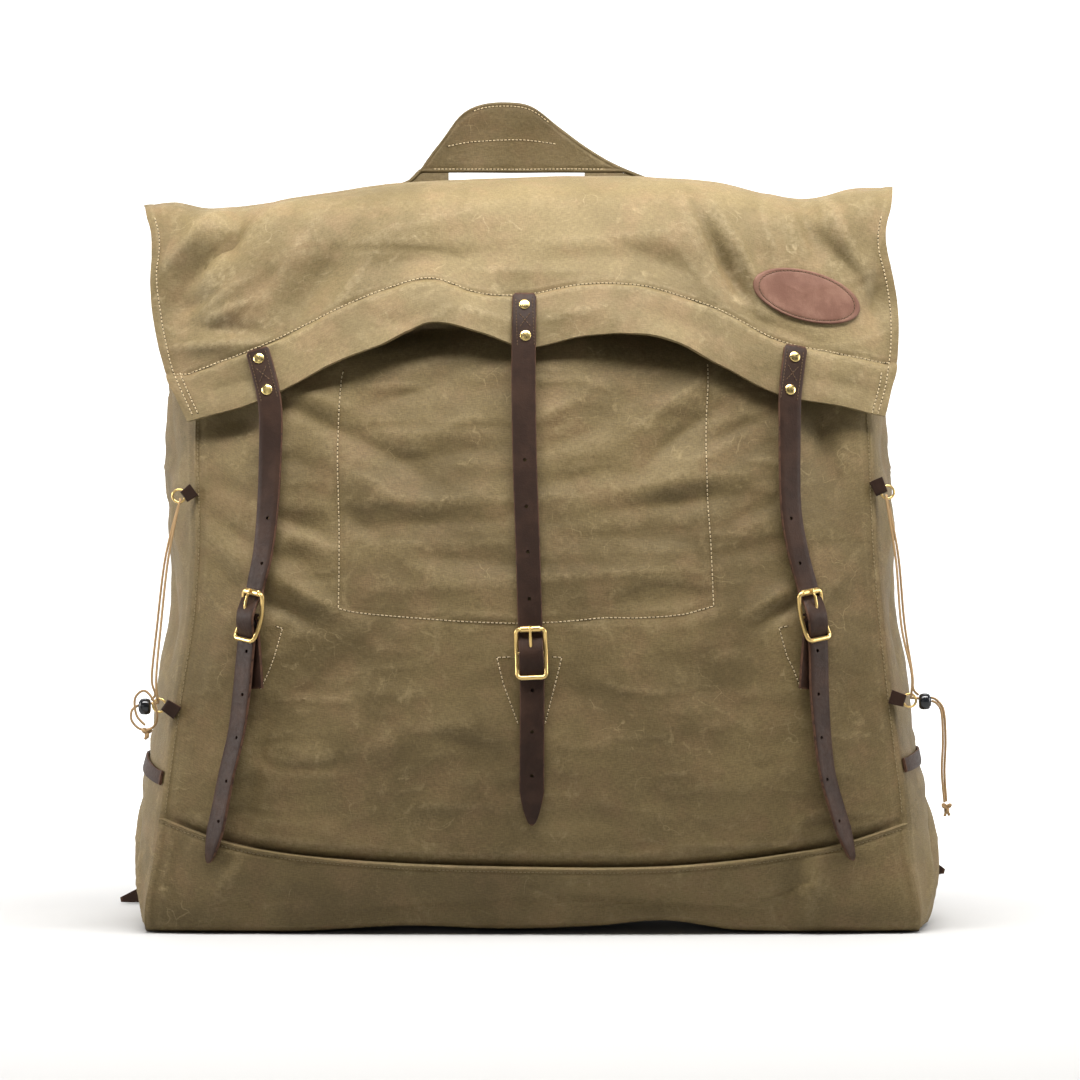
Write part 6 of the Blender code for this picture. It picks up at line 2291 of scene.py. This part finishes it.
@dataclass
class ShoulderHarness:
    """Behind the back: the yoke, two leather shoulder straps, their buckles and rivets."""

    back_skin: Skin
    stitches: Sewing
    wall: float = 3.0 * MM
    edge_y: float = 96 * MM
    yoke_half: float = 64.0
    yoke_top: float = 526.0
    yoke_height: float = 56.0
    yoke_y: float = 99.0
    inset: float = 4.0
    frame_size: tuple = (16, 13, 3)

    def build(self) -> None:
        """Makes the yoke first, then the straps over it."""
        yoke = self.yoke()
        skin = Skin(*self.back_skin.trees, yoke.skin())
        trees = []
        for side, route in SHOULDER_STRAPS.items():
            strap = self.strap(route, skin)
            strap.make(f"shoulder_leather_{side}", Finish.STRAP, f"shoulder_strap_{side}")
            trees.append(strap.skin())
            self.buckle(side, Skin(strap.skin(), *self.back_skin.trees))
        for number, (x, z) in enumerate(YOKE_RIVETS, 1):
            head = rivet_head(*Skin(*trees).hit(x * MM, z * MM, 1), facing=1)
            head.make(f"yoke_rivet_brass_{number}", Finish.RIVET, f"yoke_rivet_{number}")

    def yoke(self) -> Shell:
        """The leather piece under the straps' upper ends.

        Returns:
            The shell.
        """
        t = np.linspace(0, 1, 20)[::-1]
        half = self.yoke_half * (1 - 0.12 * t)
        z = self.yoke_top - self.yoke_height * t
        y = np.full(20, self.yoke_y - 2.5)
        left = np.stack([half, y, z], axis=1) * MM
        right = np.stack([-half, y, z], axis=1) * MM
        shell = leather_strip(left, right, 2.5 * MM, (0, 1, 0))
        shell.make("yoke_leather", Finish.STRAP, "shoulder_yoke")
        for sign in (-1, 1):
            line = [(sign * (h - self.inset), v) for h, v in zip(half, z)][1:-1]
            self.stitches.row(line, Skin(shell.skin()), facing=1)
        return shell

    def strap(self, route: Sequence[BackPoint], skin: Skin) -> Shell:
        """A shoulder strap at the gaps that its route gives.

        Args:
            route: The strap's points.
            skin: What it lies on.

        Returns:
            The shell.
        """
        line = through([(p.x, p.gap, p.z, p.half_width) for p in route], 150) * MM
        flat = line[:, [0, 2]]
        along = unit(np.gradient(flat, axis=0))
        out = np.stack([along[:, 1], -along[:, 0]], axis=1)
        ends = [flat + out * line[:, 3:4] * sign for sign in (-1, 1)]
        behind = np.array([max(skin.depth(*p, 1, self.edge_y) for p in trio) for trio in zip(*ends, flat)])
        y = softened(behind, 12) + line[:, 1]
        y = np.maximum(y, behind + 0.4 * MM)
        edges = [np.stack([e[:, 0], y, np.maximum(e[:, 1], 0.6 * MM)], axis=1) for e in ends]
        shell = leather_strip(edges[0], edges[1], self.wall, (0, 1, 0))
        tree = Skin(shell.skin())
        for sign in (-1, 1):
            inner = (flat + out * (line[:, 3:4] - self.inset * MM) * sign) / MM
            self.stitches.row(inner[4:110], tree, facing=1)
        return shell

    def buckle(self, side: str, skin: Skin) -> None:
        """A brass frame over the strap near the base corner.

        Args:
            side: "left" or "right".
            skin: The strap and the back.
        """
        x0, z0, turn = SHOULDER_BUCKLES[side]
        a = radians(turn)
        line = rounded_frame(*self.frame_size)
        places = [((x0 + x * cos(a) + z * sin(a)) * MM, (z0 + z * cos(a) - x * sin(a)) * MM) for x, z in line]
        centre = np.array([x0, z0]) * MM
        probes = [centre + (np.array(p) - centre) * s for p in places for s in (0.4, 0.7, 1.0)]
        y = max(skin.depth(*p, 1, self.edge_y) for p in probes) + 1.9 * MM
        shell = wire([(x, y, z) for x, z in places], 1.5 * MM, 14, closed=True)
        shell.make(f"shoulder_brass_{side}", Finish.BRASS, f"shoulder_buckle_{side}")


def sew_canvas(body: CanvasBody, flap: TopFlap, handle: HaulHandle) -> None:
    """All the pale stitch rows of the canvas.

    Args:
        body: The panels.
        flap: The flap.
        handle: The haul handle.
    """
    flap_skin, front, base = Skin(flap.shell.skin()), Skin(body.front.skin()), Skin(body.base.skin())
    stitches = Sewing("flap_stitches")
    stitches.row([(x, float(flap.stitch(x)) + 0.4) for x in np.linspace(-282, 283, 60)], flap_skin)
    for side, sign in ((flap.left, 1), (flap.right, -1)):
        heights = np.linspace(406, 566, 30)
        stitches.row([(float(side(z)) + sign * HEM_INSET, z) for z in heights], flap_skin)
        short = np.linspace(407, 440, 8)
        stitches.row([(float(side(z)) + sign * (HEM_INSET + 5), z) for z in short], flap_skin)
    stitches.finish_rows()
    stitches = Sewing("pocket_stitches", pitch=3.3 * MM, thread=0.46 * MM)
    stitches.row(POCKET_STITCHES[:6], front)
    stitches.row(POCKET_STITCHES[5:15], front)
    stitches.row(POCKET_STITCHES[14:], front)
    for line in TRIANGLES.values():
        for a, b in zip(line, line[1:]):
            stitches.row([a, b], front)
    stitches.finish_rows()
    stitches = Sewing("seam_stitches", Finish.SEAM_THREAD, thread=0.34 * MM, pricked=False)
    for side, sign in (("left", 1), ("right", -1)):
        heights = np.linspace(94, 436, 40)
        seam = BODY.at(f"seam_{side}", heights * MM) / MM
        stitches.row(np.stack([seam + sign * SEAM_INSET, heights], axis=1), front)
    line = []
    for u in np.linspace(-0.985, 0.985, 60):
        z = float(BODY.seam_z(u))
        line.append((float(BODY.x_at(u, z)) / MM, z / MM - SEAM_INSET))
    stitches.row(line, base)
    stitches.finish_rows()
    stitches = Sewing("handle_stitches", thread=0.38 * MM)
    skin = Skin(handle.shell.skin())
    stitches.row([(x, float(handle.top(x)) - 3.4) for x in np.linspace(-50, 14, 12)], skin)
    stitches.row([(x, handle.lower(x) + 3.0) for x in np.linspace(-84, 60, 20)], skin)
    stitches.row([(-72, handle.under + 22), (-50, 644), (-10, 645.5), (20, 642)], skin)
    stitches.finish_rows()


def main() -> None:
    """Builds the pack from the camera and the cords to the last stitch."""
    logging.basicConfig(level=logging.INFO, format="%(message)s")
    Studio().build()
    CordWork().build()
    body = CanvasBody()
    body.build()
    flap = TopFlap()
    flap.build()
    handle = HaulHandle()
    handle.build()
    cloth_skin = Skin(body.front.skin(), body.base.skin(), flap.shell.skin())
    strap_rows = Sewing("strap_stitches", Finish.DARK_THREAD, 2.6 * MM, 0.36 * MM)
    for plan in CLOSING_STRAPS:
        ClosingStrap(plan, cloth_skin, strap_rows).build()
    strap_rows.finish_rows("strap_leather")
    FlapPatch(Skin(flap.shell.skin())).build()
    SideHardware(body.sides).build()
    harness_rows = Sewing("harness_stitches", pitch=3.6 * MM)
    ShoulderHarness(Skin(body.back.skin(), flap.shell.skin()), harness_rows).build()
    harness_rows.finish_rows()
    sew_canvas(body, flap, handle)


if __name__ == "__main__":
    main()
